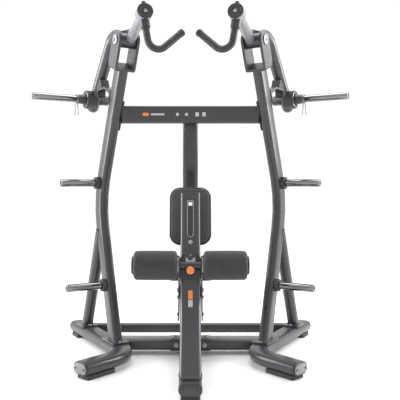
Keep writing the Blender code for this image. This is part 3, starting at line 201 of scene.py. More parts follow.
def powder_coat(name, colour, roughness, metallic, flake):
    """Stoved powder paint: orange-peel relief, fine grain, faint smears, and lighter sharp edges that are partly rubbed
    wear and partly a painted edge highlight.
    """
    made = Finish(name, colour, roughness, metallic)
    made.set("Coat Weight", 0.20).set("Coat Roughness", 0.20)
    made.tint(made.noise(2.3, 4.0), [c * 1.35 + 0.004 for c in colour], 0.55)
    made.tint(made.noise(1400.0, 1.0), flake, 0.30, 0.56, 0.72)
    # painted highlight: sharp edges are mixed towards a lighter colour, partly as rubbed wear and partly as a painted
    # edge highlight
    made.edge_highlight_and_wear(0.0022, [min(1.0, c * 2.2 + 0.05) for c in colour], 0.5)
    made.rough(made.noise(6.0, 5.0), roughness - 0.07, roughness + 0.09)
    return made.bump(made.noise(320.0, 2.0), 0.00012, edge=0.0016).bump(made.noise(1500.0, 1.0), 0.00003)


def make_finishes():
    frame_paint = powder_coat("graphite_paint", (0.029, 0.031, 0.034), 0.34, 0.30, (0.14, 0.15, 0.16))
    lever_paint = powder_coat("lever_paint", (0.035, 0.037, 0.041), 0.34, 0.35, (0.16, 0.17, 0.18))
    dark_paint = powder_coat("dark_paint", (0.016, 0.017, 0.019), 0.36, 0.15, (0.06, 0.06, 0.07))
    silver = powder_coat("silver_paint", (0.25, 0.255, 0.265), 0.36, 0.25, (0.42, 0.43, 0.45))

    chrome = Finish("chrome", (0.25, 0.25, 0.26), 0.20, 1.0)
    chrome.tint(chrome.noise(9.0, 4.0), (0.20, 0.20, 0.21), 0.5)
    chrome.rough(chrome.noise(30.0, 6.0), 0.08, 0.15)
    chrome.bump(chrome.noise(160.0, 3.0, stretch=(6.0, 1.0, 1.0)), 0.000004)

    wire = Finish("plated_wire", (0.20, 0.20, 0.21), 0.24, 1.0)
    wire.tint(wire.noise(50.0, 4.0), (0.14, 0.14, 0.15), 0.5)
    wire.rough(wire.noise(80.0, 5.0), 0.16, 0.30)
    wire.bump(wire.noise(900.0, 2.0), 0.00001)

    zinc = Finish("zinc_plate", (0.34, 0.34, 0.36), 0.32, 1.0)
    zinc.tint(zinc.noise(60.0, 5.0), (0.25, 0.26, 0.28), 0.6)
    zinc.rough(zinc.noise(80.0), 0.24, 0.44)
    zinc.bump(zinc.noise(700.0), 0.00003, edge=0.0006)

    rubber = Finish("black_rubber", (0.022, 0.022, 0.024), 0.62)
    rubber.tint(rubber.noise(28.0, 5.0), (0.050, 0.049, 0.047), 0.5)
    rubber.rough(rubber.noise(90.0), 0.50, 0.78)
    rubber.bump(rubber.noise(900.0, 2.0), 0.00008, edge=0.001)

    grip = Finish("grip_rubber", (0.016, 0.016, 0.018), 0.50)
    grip.tint(grip.noise(40.0, 4.0), (0.040, 0.040, 0.041), 0.5)
    grip.rough(grip.noise(120.0), 0.38, 0.62)
    grip.bump(grip.cells(1100.0), 0.00010)

    plastic = Finish("moulded_plastic", (0.014, 0.014, 0.016), 0.45)
    plastic.tint(plastic.noise(20.0, 4.0), (0.028, 0.028, 0.030), 0.5)
    plastic.rough(plastic.noise(60.0), 0.34, 0.55)
    plastic.bump(plastic.cells(1600.0), 0.00005, edge=0.0012)

    vinyl = Finish("pad_vinyl", (0.036, 0.036, 0.039), 0.46)
    vinyl.set("Sheen Weight", 0.12).set("Sheen Roughness", 0.4)
    vinyl.tint(vinyl.noise(7.0, 4.0), (0.062, 0.061, 0.062), 0.6)
    vinyl.rough(vinyl.noise(50.0, 4.0), 0.38, 0.60)
    vinyl.bump(vinyl.cells(420.0, "SMOOTH_F1"), 0.00022).bump(vinyl.noise(1300.0, 2.0), 0.00005)

    foam = Finish("roller_foam", (0.022, 0.022, 0.024), 0.88)
    foam.set("Sheen Weight", 0.08).set("Sheen Roughness", 0.6)
    foam.tint(foam.noise(16.0, 5.0), (0.036, 0.036, 0.038), 0.6)
    # painted shade: the foam is darker in the pits of its cell relief, the same cells that the bump below sinks
    foam.tint(foam.cells(900.0), (0.010, 0.010, 0.011), 0.5, 0.30, 0.05)
    foam.bump(foam.cells(900.0), 0.00025).bump(foam.noise(120.0, 4.0), 0.00020)

    orange = Finish("orange_plastic", (0.66, 0.17, 0.040), 0.32)
    orange.tint(orange.noise(35.0, 4.0), (0.74, 0.26, 0.09), 0.5)
    orange.rough(orange.noise(90.0), 0.24, 0.42)
    orange.bump(orange.noise(900.0), 0.00003, edge=0.001)

    board = Finish("pad_board", (0.020, 0.019, 0.018), 0.70)
    board.tint(board.noise(14.0, 6.0, stretch=(1.0, 9.0, 9.0)), (0.040, 0.037, 0.034), 0.7)
    board.rough(board.noise(70.0), 0.60, 0.82)
    board.bump(board.noise(240.0, 4.0, stretch=(1.0, 7.0, 7.0)), 0.00012)

    # painted highlight: a lighter grey for the faces of the side rails' end caps, standing in for light falling on them
    plate = Finish("cap_face_highlight_paint", (0.20, 0.20, 0.21), 0.40)
    plate.tint(plate.noise(30.0, 4.0), (0.26, 0.26, 0.27), 0.5)
    plate.rough(plate.noise(80.0), 0.32, 0.48)
    plate.bump(plate.noise(500.0, 3.0), 0.00003, edge=0.0006)

    weld = Finish("painted_weld", (0.055, 0.057, 0.061), 0.42, 0.3)
    weld.tint(weld.noise(120.0, 3.0), (0.11, 0.11, 0.12), 0.6)
    weld.rough(weld.noise(90.0), 0.32, 0.55)
    weld.bump(weld.noise(260.0, 3.0), 0.0003)

    found = {
        "frame_paint": frame_paint, "lever_paint": lever_paint, "handle_paint": dark_paint,
        "carriage_paint": dark_paint, "arm_silver": silver, "horn_chrome": chrome, "collar_wire": wire,
        "shaft_zinc": zinc, "grip_rubber": grip, "stop_rubber": rubber, "foot_rubber": rubber,
        "cap_plastic": plastic, "pad_upholstery": vinyl, "roller_foam": foam, "knob_orange": orange,
        "board": board, "weld": weld, "cap_face_highlight_paint": plate,
    }
    return {name: made.material for name, made in found.items()}


FINISH = make_finishes()


def label_film(name, colour):
    """Printed film: slightly glossy, with faint scuffs."""
    made = Finish(name, colour, 0.35)
    made.tint(made.noise(90.0, 4.0), [c * 0.86 for c in colour], 0.6)
    made.rough(made.noise(140.0), 0.28, 0.48)
    return made.bump(made.noise(600.0), 0.00002).material


# ---------------------------------------------------------------- carried-over CAD nodes
def smoothing_group():
    """Welds a node's triangles together and shades it smooth except at its real edges."""
    group = bpy.data.node_groups.new("smooth_by_angle", "GeometryNodeTree")
    group.interface.new_socket("Geometry", in_out="INPUT", socket_type="NodeSocketGeometry")
    group.interface.new_socket("Geometry", in_out="OUTPUT", socket_type="NodeSocketGeometry")
    enter, leave = group.nodes.new("NodeGroupInput"), group.nodes.new("NodeGroupOutput")
    merge = group.nodes.new("GeometryNodeMergeByDistance")
    merge.inputs["Distance"].default_value = 0.00002
    smooth = group.nodes.new("GeometryNodeSetShadeSmooth")
    edges = group.nodes.new("GeometryNodeSetShadeSmooth")
    edges.domain = "EDGE"
    edges.inputs["Shade Smooth"].default_value = False
    angle = group.nodes.new("GeometryNodeInputMeshEdgeAngle")
    sharp = group.nodes.new("FunctionNodeCompare")
    sharp.operation = "GREATER_THAN"
    sharp.inputs["B"].default_value = math.radians(36)
    link = group.links.new
    link(enter.outputs[0], merge.inputs["Geometry"])
    link(merge.outputs["Geometry"], smooth.inputs["Geometry"])
    link(smooth.outputs["Geometry"], edges.inputs["Geometry"])
    link(angle.outputs["Unsigned Angle"], sharp.inputs["A"])
    link(sharp.outputs["Result"], edges.inputs["Selection"])
    link(edges.outputs["Geometry"], leave.inputs[0])
    return group


def dress_frame():
    """Gives every CAD node its slot's finish and smooth shading."""
    group = smoothing_group()
    slots = {part["node"]: part["material_slot"] for part in frame["record"]["subparts"]}
    for name, node in NODES.items():
        mesh = node.data
        if "custom_normal" in mesh.attributes:
            mesh.attributes.remove(mesh.attributes["custom_normal"])
        mesh.materials.clear()
        mesh.materials.append(FINISH[slots[name]])
        mesh.polygons.foreach_set("material_index", [0] * len(mesh.polygons))
        node.modifiers.new("smooth", "NODES").node_group = group


dress_frame()


# ---------------------------------------------------------------- mesh tools
ROUND = 48  # points round a turned outline, a multiple of six for hexagons


def rounded_rectangle(width, height, radius, steps=6):
    """Outline points, anticlockwise, of a rectangle with rounded corners."""
    points = []
    for corner, (x, y) in enumerate(((1, 1), (-1, 1), (-1, -1), (1, -1))):
        centre = Vector((x * (width / 2 - radius), y * (height / 2 - radius)))
        for step in range(steps + 1):
            angle = math.pi / 2 * (corner + step / steps)
            points.append(centre + radius * Vector((math.cos(angle), math.sin(angle))))
    return points


def circle(radius, count=ROUND):
    angles = [2 * math.pi * step / count for step in range(count)]
    return [radius * Vector((math.cos(a), math.sin(a))) for a in angles]


def hexagon(radius, count=ROUND):
    """A hexagon with the radius at its corners, with points all along its sides."""
    points = []
    for step in range(count):
        angle = 2 * math.pi * step / count
        within = (angle % (math.pi / 3)) - math.pi / 6
        reach = radius * math.cos(math.pi / 6) / math.cos(within)
        points.append(reach * Vector((math.cos(angle), math.sin(angle))))
    return points


def fluted(radius, flutes, depth, count=96):
    """A round outline with shallow flutes."""
    points = []
    for step in range(count):
        angle = 2 * math.pi * step / count
        reach = radius - depth * (0.5 - 0.5 * math.cos(flutes * angle)) ** 2
        points.append(reach * Vector((math.cos(angle), math.sin(angle))))
    return points


def facing(position, direction, turn=0.0):
    """A frame whose z axis points along the direction."""
    turned_to = Vector(direction).to_track_quat("Z", "Y").to_matrix().to_4x4()
    return Matrix.Translation(position) @ turned_to @ Matrix.Rotation(turn, 4, "Z")


def skin(shape, rings, ring=False, ends=True):
    """Adds faces over a row of point rings, closed at both ends or joined into a ring."""
    corners = [[shape.verts.new(point) for point in points] for points in rings]
    pairs = list(zip(corners, corners[1:]))
    if ring:
        pairs.append((corners[-1], corners[0]))
    for near, far in pairs:
        for i in range(len(near)):
            j = (i + 1) % len(near)
            shape.faces.new((near[i], near[j], far[j], far[i]))
    if ends and not ring:
        shape.faces.new(corners[0][::-1])
        shape.faces.new(corners[-1])


def loft(layers, place=Matrix.Identity(4), ring=False, shape=None):
    """A closed skin over (outline, height) layers stacked along the place's z axis."""
    shape = shape or bmesh.new()
    skin(shape, [[place @ Vector((p.x, p.y, height)) for p in outline] for outline, height in layers], ring)
    return shape


def turned(profile, place=Matrix.Identity(4), ring=False, count=ROUND, shape=None):
    """A piece turned about the place's z axis from (height, radius) pairs."""
    return loft([(circle(radius, count), height) for height, radius in profile], place, ring, shape)


def softened(profile, radius, steps=4):
    """The (height, radius) profile with its inner points rounded off."""
    points = [Vector(p) for p in profile]
    made = [points[0]]
    for before, here, after in zip(points, points[1:], points[2:]):
        into, out = (before - here), (after - here)
        reach = min(radius, into.length * 0.45, out.length * 0.45)
        start, end = here + into.normalized() * reach, here + out.normalized() * reach
        for step in range(steps + 1):
            t = step / steps
            made.append(start * (1 - t) ** 2 + here * 2 * t * (1 - t) + end * t ** 2)
    return [tuple(p) for p in (*made, points[-1])]


def tube_along(path, radii, sides=20, closed=False, shape=None):
    """A round bar along a path of points. Radii is one number, or one for each point."""
    shape = shape or bmesh.new()
    count = len(path)
    sizes = radii if hasattr(radii, "__len__") else [radii] * count
    tangents = []
    for i in range(count):
        before = path[i - 1] if closed or i else path[0]
        after = path[(i + 1) % count] if closed or i + 1 < count else path[-1]
        tangents.append((after - before).normalized())
    side = tangents[0].orthogonal().normalized()
    rings = []
    for i, (point, along, size) in enumerate(zip(path, tangents, sizes)):
        if i:
            side = (tangents[i - 1].rotation_difference(along) @ side)
        side = (side - along * side.dot(along)).normalized()
        other = along.cross(side)
        rings.append([point + side * p.x + other * p.y for p in circle(size, sides)])
    skin(shape, rings, ring=closed)
    return shape


def bent_path(start, corner, end, radius, steps=14):
    """Points from start to end round one corner rounded off by an arc."""
    into, out = (corner - start).normalized(), (end - corner).normalized()
    turn = into.angle(out)
    centre = corner + (out - into).normalized() * radius / math.cos(turn / 2)
    arm = corner - into * radius * math.tan(turn / 2) - centre
    axis = into.cross(out).normalized()
    arc = [centre + Matrix.Rotation(turn * step / steps, 3, axis) @ arm for step in range(steps + 1)]
    return [start, *arc, end]


def resampled(path, spacing):
    """The path with points this far apart."""
    made, left = [path[0]], spacing
    for here, after in zip(path, path[1:]):
        length = (after - here).length
        at = left
        while at < length:
            made.append(here.lerp(after, at / length))
            at += spacing
        left = at - length
    return [*made, path[-1]]


def box_in(node, place):
    """Lowest and highest corner of a CAD node along the axes of a frame."""
    back = place.inverted()
    points = [back @ vertex.co for vertex in NODES[node].data.vertices]
    low = Vector([min(p[i] for p in points) for i in range(3)])
    high = Vector([max(p[i] for p in points) for i in range(3)])
    return low, high


def add_piece(name, shape, finish, body, slot=None, stands_for=(), mirror=None, angle=38):
    """Makes a piece of the shape, which rides on the body."""
    if mirror:
        shape = shape.copy()
        bmesh.ops.transform(shape, matrix=mirror, verts=shape.verts)
    bmesh.ops.recalc_face_normals(shape, faces=shape.faces)
    mesh = bpy.data.meshes.new(name)
    shape.to_mesh(mesh)
    mesh.shade_smooth()
    mesh.set_sharp_from_angle(angle=math.radians(angle))
    mesh.materials.append(finish if isinstance(finish, bpy.types.Material) else FINISH[finish])
    piece = bpy.data.objects.new(name, mesh)
    bpy.context.scene.collection.objects.link(piece)
    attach(piece, body)
    if stands_for:
        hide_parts(*stands_for)
    return piece


def add_pair(name, shape, finish, body="frame", slot=None, stands_for=(), **options):
    """A right-hand piece and its mirror image. A body or node name may hold {side}."""
    made = {}
    for side, mirror in SIDES.items():
        nodes = [f"{side}_{node}" for node in stands_for]
        made[side] = add_piece(
            f"{side}_{name}", shape, finish, body.format(side=side), slot, nodes, mirror=mirror, **options
        )
    return made


# ---------------------------------------------------------------- small hardware
def washer_and_hex(place, size=1.0, shape=None):
    """A washer and a hexagon bolt head, standing on the place's z = 0 face."""
    washer = [(0.0, 0.0118), (0.0014, 0.0118), (0.0018, 0.0112), (0.0018, 0.0096)]
    head = [(hexagon(0.0098 * size), 0.0017), (hexagon(0.0098 * size), 0.0072), (circle(0.0084 * size), 0.0084)]
    face = [(circle(0.0068 * size), 0.0084), (circle(0.0062 * size), 0.0080)]
    shape = turned([(h * size, r * size) for h, r in washer], place, shape=shape)
    return loft([(o, h * size) for o, h in (*head, *face)], place, shape=shape)


def socket_head(place, radius=0.010, height=0.007, shape=None):
    """A domed screw head with a hexagon socket."""
    dome = [(0.0, 1.0), (0.35, 1.0), (0.7, 0.86), (0.93, 0.66), (1.0, 0.56)]
    layers = [(circle(radius * r), height * h) for h, r in dome]
    layers += [(hexagon(radius * 0.50), height), (hexagon(radius * 0.48), height * 0.45)]
    return loft(layers, place, shape=shape)


def weld_bead(path, size=0.0035, shape=None):
    """A closed weld bead with its ripples."""
    sizes = [size * (1 + 0.13 * math.sin(i * 1.7)) for i in range(len(path))]
    return tube_along(path, sizes, 8, closed=True, shape=shape)


def loop_path(outline, place, height=0.0, spacing=0.0035):
    """A closed outline as points of space, evenly spaced."""
    points = [place @ Vector((p.x, p.y, height)) for p in (*outline, outline[0])]
    return resampled(points, spacing)[:-1]

# ---------------------------------------------------------------- weight and storage horns
HORN_RADIUS = 0.024
COLLAR_DEPTH = 0.026


def horn_sleeve(place, start, end, shape=None):
    """A plated sleeve with a rounded rim and a hollow end, which takes a plug."""
    r, tip = HORN_RADIUS, end
    rim = [(start, 0.001), (start, r), (tip, r), (tip, r * 0.72), (tip - 0.004, r * 0.66), (tip - 0.004, 0.001)]
    return turned(softened(rim, 0.004), place, shape=shape)


def add_storage_horns():
    """Plated horns with rubber collars on the uprights' outer faces."""
    for level in ("lower", "upper"):
        node = f"{level}_storage_horn"
        low, high = box_in(f"right_{node}", SIDE)
        middle = (low + high) / 2
        radius = (high.z - low.z) / 2
        place = SIDE @ facing((low.x, middle.y, middle.z), ACROSS)
        length = high.x - low.x
        sleeve = horn_sleeve(place, 0.001, length)
        add_pair(f"{level}_storage_sleeve", sleeve, "horn_chrome", slot="horn_chrome", stands_for=(node,))
        rim, depth = radius, COLLAR_DEPTH
        collar = [(0.0, 0.001), (0.0, rim), (0.010, rim), (0.0115, rim - 0.0016), (0.013, rim)]
        collar += [(depth, rim), (depth, HORN_RADIUS + 0.006), (depth - 0.002, HORN_RADIUS + 0.004)]
        collar += [(depth - 0.002, 0.001)]
        add_pair(f"{level}_storage_collar", turned(softened(collar, 0.003), place), "stop_rubber")
        plug = [(length - 0.006, 0.001), (length - 0.006, 0.0150), (length - 0.0022, 0.0142), (length - 0.0016, 0.001)]
        add_pair(f"{level}_storage_plug", turned(softened(plug, 0.001), place), "cap_plastic")


HORN_LOW, HORN_HIGH = box_in("right_weight_horn", SIDE)
HORN = (HORN_LOW + HORN_HIGH) / 2  # a point of the weight horn's axis, in the side's frame
HORN_AXIS_AT_LEVER = Vector((0.0, HORN.y, HORN.z))
CONE_END = 0.118


def add_weight_horns():
    """The plated sleeve, its painted cone, the cap on the lever's other side and the stop's bright ring."""
    place = SIDE @ facing(HORN_AXIS_AT_LEVER, ACROSS)
    stop_face = box_in("right_horn_stop", SIDE)[1].x
    sleeve = horn_sleeve(place, stop_face - 0.02, HORN_HIGH.x)
    body = "{side}_lever"
    add_pair("weight_sleeve", sleeve, "horn_chrome", body, "horn_chrome", ("weight_horn",))
    tip = HORN_HIGH.x
    plug = [(tip - 0.006, 0.001), (tip - 0.006, 0.0150), (tip - 0.0022, 0.0142), (tip - 0.0016, 0.001)]
    add_pair("weight_sleeve_plug", turned(softened(plug, 0.001), place), "cap_plastic", body)
    cone = [(stop_face + 0.0005, 0.001), (stop_face + 0.0005, 0.0365), (CONE_END - 0.014, 0.0305)]
    cone += [(CONE_END - 0.010, 0.0305), (CONE_END, 0.0280), (CONE_END, 0.001)]
    add_pair("horn_cone", turned(softened(cone, 0.0025), place), "lever_paint", body)
    ring = [(0.0, 0.0490), (0.0020, 0.0498), (0.0026, 0.0520), (0.0020, 0.0548), (0.0, 0.0556)]
    ring_place = place @ Matrix.Translation((0, 0, stop_face - 0.0004))
    add_pair("horn_stop_ring", turned(softened(ring, 0.0008) + [(-0.0006, 0.0520)], ring_place, ring=True),
             "horn_chrome", body)
    cap_place = SIDE @ facing((-0.030, HORN.y, HORN.z), -ACROSS)
    depth = -HORN_LOW.x - 0.030
    cap = [(0.0, 0.001), (0.0, 0.0315), (depth, 0.0315), (depth, 0.019), (depth - 0.003, 0.017), (depth - 0.003, 0.001)]
    add_pair("horn_cap", turned(softened(cap, 0.004), cap_place), "lever_paint", body)
    screw = socket_head(cap_place @ Matrix.Translation((0, 0, depth - 0.0032)), 0.011, 0.006)
    add_pair("horn_cap_screw", screw, "shaft_zinc", body)


def rounded_path(points, times=3):
    """The path with its corners cut back this many times."""
    for _ in range(times):
        cut = [points[0]]
        for here, after in zip(points, points[1:]):
            cut += [here.lerp(after, 0.25), here.lerp(after, 0.75)]
        points = [*cut, points[-1]]
    return points


def add_spring_collars():
    """Sprung wire collars: three coils round the horn and two hanging legs."""
    low, high = box_in("right_spring_collar", SIDE)
    wire = 0.0028
    coil, turns, steps = HORN_RADIUS + wire + 0.0006, 3, 24
    first, last = low.x + wire, high.x - wire
    drop = low.z - HORN.z + 0.004
    helix = []
    for step in range(turns * steps + 1):
        angle = 2 * math.pi * step / steps - math.pi / 2
        x = first + (last - first) * step / (turns * steps)
        helix.append(Vector((x, coil * math.cos(angle), coil * math.sin(angle))))
    swing = 0.011
    start_leg = [Vector((first - 0.004, -swing, drop)), Vector((first, -swing, drop + 0.008)),
                 Vector((first, -0.004, -coil - 0.010))]
    end_leg = [Vector((last, 0.004, -coil - 0.010)), Vector((last, swing, drop + 0.008)),
               Vector((last + 0.004, swing, drop))]
    path = rounded_path([*start_leg, *helix[1:-1], *end_leg], 2)
    at_horn = SIDE @ Matrix.Translation(HORN_AXIS_AT_LEVER)
    wire_shape = tube_along([at_horn @ p for p in path], wire, 10)
    body = "{side}_collar"
    add_pair("collar_wire", wire_shape, "collar_wire", body, "collar_wire", ("spring_collar",))


# ---------------------------------------------------------------- levers and front arms
LEVER_RADIUS = 0.038
LEVER_CORNER = Vector((0.0, 0.1777, 0.0808))  # where the lever's two straights would meet
LEVER_OVERRUN = 0.0545  # from the horn's axis to the start of the lever's domed end
HUB_RADIUS, HUB_HALF = 0.0435, 0.0497
ARM_ROOT = Vector((-0.024, 0.0, 0.0))  # where the front arm's centre line crosses the hub
ARM_RADIUS = 0.030
GUSSET_OUTLINE = ((-0.040, 0.020), (0.046, 0.020), (0.046, 0.052), (-0.040, 0.080))  # across, up


def meeting_loop(direction, radius, reach=HUB_RADIUS, count=64):
    """Where a round tube from the pivot along the direction meets the hub's round side."""
    along = direction.normalized()
    first = along.orthogonal().normalized()
    second = along.cross(first)
    loop = []
    for step in range(count):
        angle = 2 * math.pi * step / count
        rim = (first * math.cos(angle) + second * math.sin(angle)) * radius
        a = along.y ** 2 + along.z ** 2
        b = 2 * (along.y * rim.y + along.z * rim.z)
        c = rim.y ** 2 + rim.z ** 2 - reach ** 2
        far = (-b + math.sqrt(max(0.0, b * b - 4 * a * c))) / (2 * a)
        loop.append(SIDE @ (rim + along * far))
    return loop


def add_levers():
    """The hub with its seals, the arched lever with its domed end, and the welds between them."""
    body = "{side}_lever"
    away = (HORN_AXIS_AT_LEVER - LEVER_CORNER).normalized()
    end = HORN_AXIS_AT_LEVER + away * LEVER_OVERRUN
    path = bent_path(LEVER_CORNER.normalized() * 0.020, LEVER_CORNER, end, 0.100, 20)
    sizes = [LEVER_RADIUS] * len(path)
    for step in range(1, 11):
        angle = math.pi / 2 * step / 10
        path.append(end + away * LEVER_RADIUS * math.sin(angle))
        sizes.append(max(0.0006, LEVER_RADIUS * math.cos(angle)))
    lever = tube_along([SIDE @ p for p in path], sizes, 40)
    add_pair("lever_tube", lever, "lever_paint", body, "lever_paint", ("lever_arm",))

    gusset = bmesh.new()
    centre = Vector((0.003, 0.040))
    rings = []
    for back, scale in ((0.0300, 0.96), (0.0288, 1.0), (0.0152, 1.0), (0.0140, 0.96)):
        corners = [centre + (Vector(corner) - centre) * scale for corner in GUSSET_OUTLINE]
        rings.append([SIDE @ Vector((c.x, back, c.y)) for c in corners])
    skin(gusset, rings)
    add_pair("hub_gusset", gusset, "lever_paint", body)

    place = SIDE @ facing((0, 0, 0), ACROSS)
    half, r = HUB_HALF, HUB_RADIUS
    rim = [(half, r), (half, r - 0.008), (half - 0.0025, r - 0.009), (half - 0.0025, 0.016)]
    profile = [(-h, radius) for h, radius in reversed(rim)] + rim
    add_pair("pivot_hub", turned(softened(profile, 0.0018), place), "lever_paint", body)
    seals = bmesh.new()
    for end_side in (-1, 1):
        seal_place = SIDE @ facing((end_side * (half - 0.0026), 0, 0), ACROSS * end_side)
        seal = [(0.0, 0.0175), (0.0, 0.0335), (0.0012, 0.0330), (0.0016, 0.0260), (0.0012, 0.0180)]
        turned(seal, seal_place, ring=True, shape=seals)
    add_pair("bearing_seals", seals, "shaft_zinc", body)
    arm_line = SIDE.to_3x3().inverted() @ -SPINDLE_BACK
    beads = weld_bead(resampled_loop(meeting_loop(LEVER_CORNER, LEVER_RADIUS)), 0.0042)
    arm_loop = [p + SIDE.to_3x3() @ ARM_ROOT for p in meeting_loop(arm_line, ARM_RADIUS)]
    weld_bead(resampled_loop(arm_loop), 0.0036, shape=beads)
    add_pair("hub_welds", beads, "weld", body)


def resampled_loop(points, spacing=0.0034):
    return resampled([*points, points[0]], spacing)[:-1]


BARREL_HALF, BARREL_RADIUS = 0.02775, 0.045


def add_front_arms():
    """The silver tube from the hub, and the dark disc and bolt that keep the handle on its spindle."""
    body = "{side}_lever"
    place = HANDLE @ facing((0, 0, 0), -BACK)
    back_end = -(HANDLE.translation - SIDE @ ARM_ROOT).length + 0.025
    shoulder = -BARREL_HALF - 0.0010
    tube = [(back_end, 0.001), (back_end, ARM_RADIUS), (shoulder - 0.016, ARM_RADIUS), (shoulder - 0.015, 0.0318)]
    tube += [(shoulder, 0.0318), (shoulder, 0.001)]
    arm = turned(softened(tube, 0.002), place)
    add_pair("arm_tube", arm, "arm_silver", body, "arm_silver", ("front_arm",))
    front = -box_in("right_front_arm", HANDLE)[0].y - 0.004
    back = BARREL_HALF + 0.0008
    disc = [(back, 0.001), (back, 0.0440), (front, 0.0440), (front, 0.0300), (front - 0.0012, 0.0290)]
    disc += [(front - 0.0012, 0.0135), (front - 0.0030, 0.0125), (front - 0.0030, 0.001)]
    add_pair("arm_disc", turned(softened(disc, 0.0022), place), "handle_paint", body)
    screw_place = place @ Matrix.Translation((0, 0, front - 0.0032))
    add_pair("arm_disc_screw", socket_head(screw_place, 0.0108, 0.0070), "shaft_zinc", body)


# ---------------------------------------------------------------- handles
HANDLE_TOP = Vector((0.0, 0.0, -0.030))
HANDLE_CORNER = Vector((-0.0285, 0.0, -0.255))
HANDLE_TIP = Vector((-0.216, 0.0, -0.087))
HANDLE_BEND = 0.055
GRIP_START, GRIP_RADIUS, TIP_LENGTH = 0.0555, 0.0195, 0.012
RIB_PITCH, RIB_DEPTH = 0.0058, 0.0007


def add_handles():
    """The swivelling barrel, its collar and top screw, and the hooked grip with its ribs and end knob."""
    body = "{side}_handle"
    place = HANDLE @ facing((0, 0, 0), -BACK)
    h, r = BARREL_HALF, BARREL_RADIUS
    barrel = [(-h, 0.0226), (-h, r - 0.003), (-h + 0.003, r), (-h + 0.008, r), (-h + 0.009, r - 0.0012)]
    barrel += [(-h + 0.010, r), (h - 0.003, r), (h, r - 0.003), (h, 0.0226)]
    add_pair("handle_barrel", turned(barrel, place, ring=True), "arm_silver", body)
    down = (HANDLE_CORNER - HANDLE_TOP).normalized()
    collar_place = HANDLE @ facing(HANDLE_TOP, down)
    collar = [(0.0, 0.001), (0.0, 0.0270), (0.050, 0.0270), (0.055, 0.0245), (0.055, 0.001)]
    shape = turned(softened(collar, 0.003), collar_place)
    add_pair("handle_collar", shape, "handle_paint", body, "handle_paint", ("handle_bar",))
    height = box_in("right_handle_bar", HANDLE)[1].z
    stud = softened([(r - 0.010, 0.001), (r - 0.010, 0.0125), (height, 0.0125), (height, 0.001)], 0.002)
    add_pair("handle_stud", turned(stud, HANDLE @ facing((0, 0, 0), UP)), "handle_paint", body)
    stud_top = HANDLE @ facing((0, 0, height - 0.0002), UP)
    add_pair("handle_stud_screw", socket_head(stud_top, 0.0080, 0.0040), "handle_paint", body)

    path = bent_path(HANDLE_TOP, HANDLE_CORNER, HANDLE_TIP, HANDLE_BEND, 30)
    fine = resampled(path, RIB_PITCH / 6)
    start = round(GRIP_START / (RIB_PITCH / 6))
    grip_line = fine[start:-round(TIP_LENGTH / (RIB_PITCH / 6))]
    sizes = []
    for i in range(len(grip_line)):
        from_end = min(i, len(grip_line) - 1 - i)
        rib = RIB_DEPTH * (0.5 - 0.5 * math.cos(2 * math.pi * i / 6))
        band = 0.0016 if from_end < 10 else -rib
        sizes.append(GRIP_RADIUS + band - (0.0015 if from_end == 0 else 0.0))
    grip = tube_along([HANDLE @ p for p in grip_line], sizes, 28)
    add_pair("grip_sleeve", grip, "grip_rubber", body, "grip_rubber", ("handle_grip",))
    along = (path[-1] - path[-2]).normalized()
    knob_place = HANDLE @ facing(HANDLE_TIP - along * TIP_LENGTH, along)
    knob = [(-0.002, 0.001), (-0.002, 0.0200), (0.004, 0.0212), (0.009, 0.0200), (0.0118, 0.0140), (0.0124, 0.001)]
    add_pair("grip_knob", turned(softened(knob, 0.002), knob_place), "handle_paint", body)
    screw_place = knob_place @ Matrix.Translation((0, 0, 0.0122))
    add_pair("grip_knob_screw", socket_head(screw_place, 0.0060, 0.0022), "shaft_zinc", body)


# ---------------------------------------------------------------- pivots
def add_pivot_shafts():
    """Plated shafts with capped, socketed ends outside the bracket's ears."""
    low, high = box_in("right_pivot_shaft", SIDE)
    place = SIDE @ facing((0, 0, 0), ACROSS)
    face = high.x - 0.008
    shape = turned([(-face, 0.001), (-face, 0.0149), (face, 0.0149), (face, 0.001)], place)
    for side in (-1, 1):
        cap_place = SIDE @ facing((side * face, 0, 0), ACROSS * side)
        layers = [(circle(0.0300), 0.0), (circle(0.0300), 0.0052), (circle(0.0292), 0.0068), (circle(0.0270), 0.0079)]
        layers += [(circle(0.0195), 0.0080), (circle(0.0185), 0.0062), (circle(0.0110), 0.0060)]
        layers += [(hexagon(0.0098), 0.0060), (hexagon(0.0094), 0.0022)]
        loft(layers, cap_place, shape=shape)
    add_pair("pivot_pin", shape, "shaft_zinc", slot="shaft_zinc", stands_for=("pivot_shaft",))
    washers = bmesh.new()
    for side in (-1, 1):
        washer_place = SIDE @ facing((side * (HUB_HALF + 0.0002), 0, 0), ACROSS * side)
        turned([(0.0, 0.0156), (0.0, 0.0240), (0.0009, 0.0240), (0.0009, 0.0156)], washer_place, True, shape=washers)
    add_pair("thrust_washers", washers, "cap_plastic")


# ---------------------------------------------------------------- rails: caps, feet, bolts and welds
PLATE_TOP = 0.105  # of the bolted foot plates on the rails
FOOT_BACK = 0.156  # from the pivot back to the upright's foot, along the rail
SIDE_FLOOR = SIDE @ Matrix.Translation((0, FOOT_BACK, -PIVOT.z))


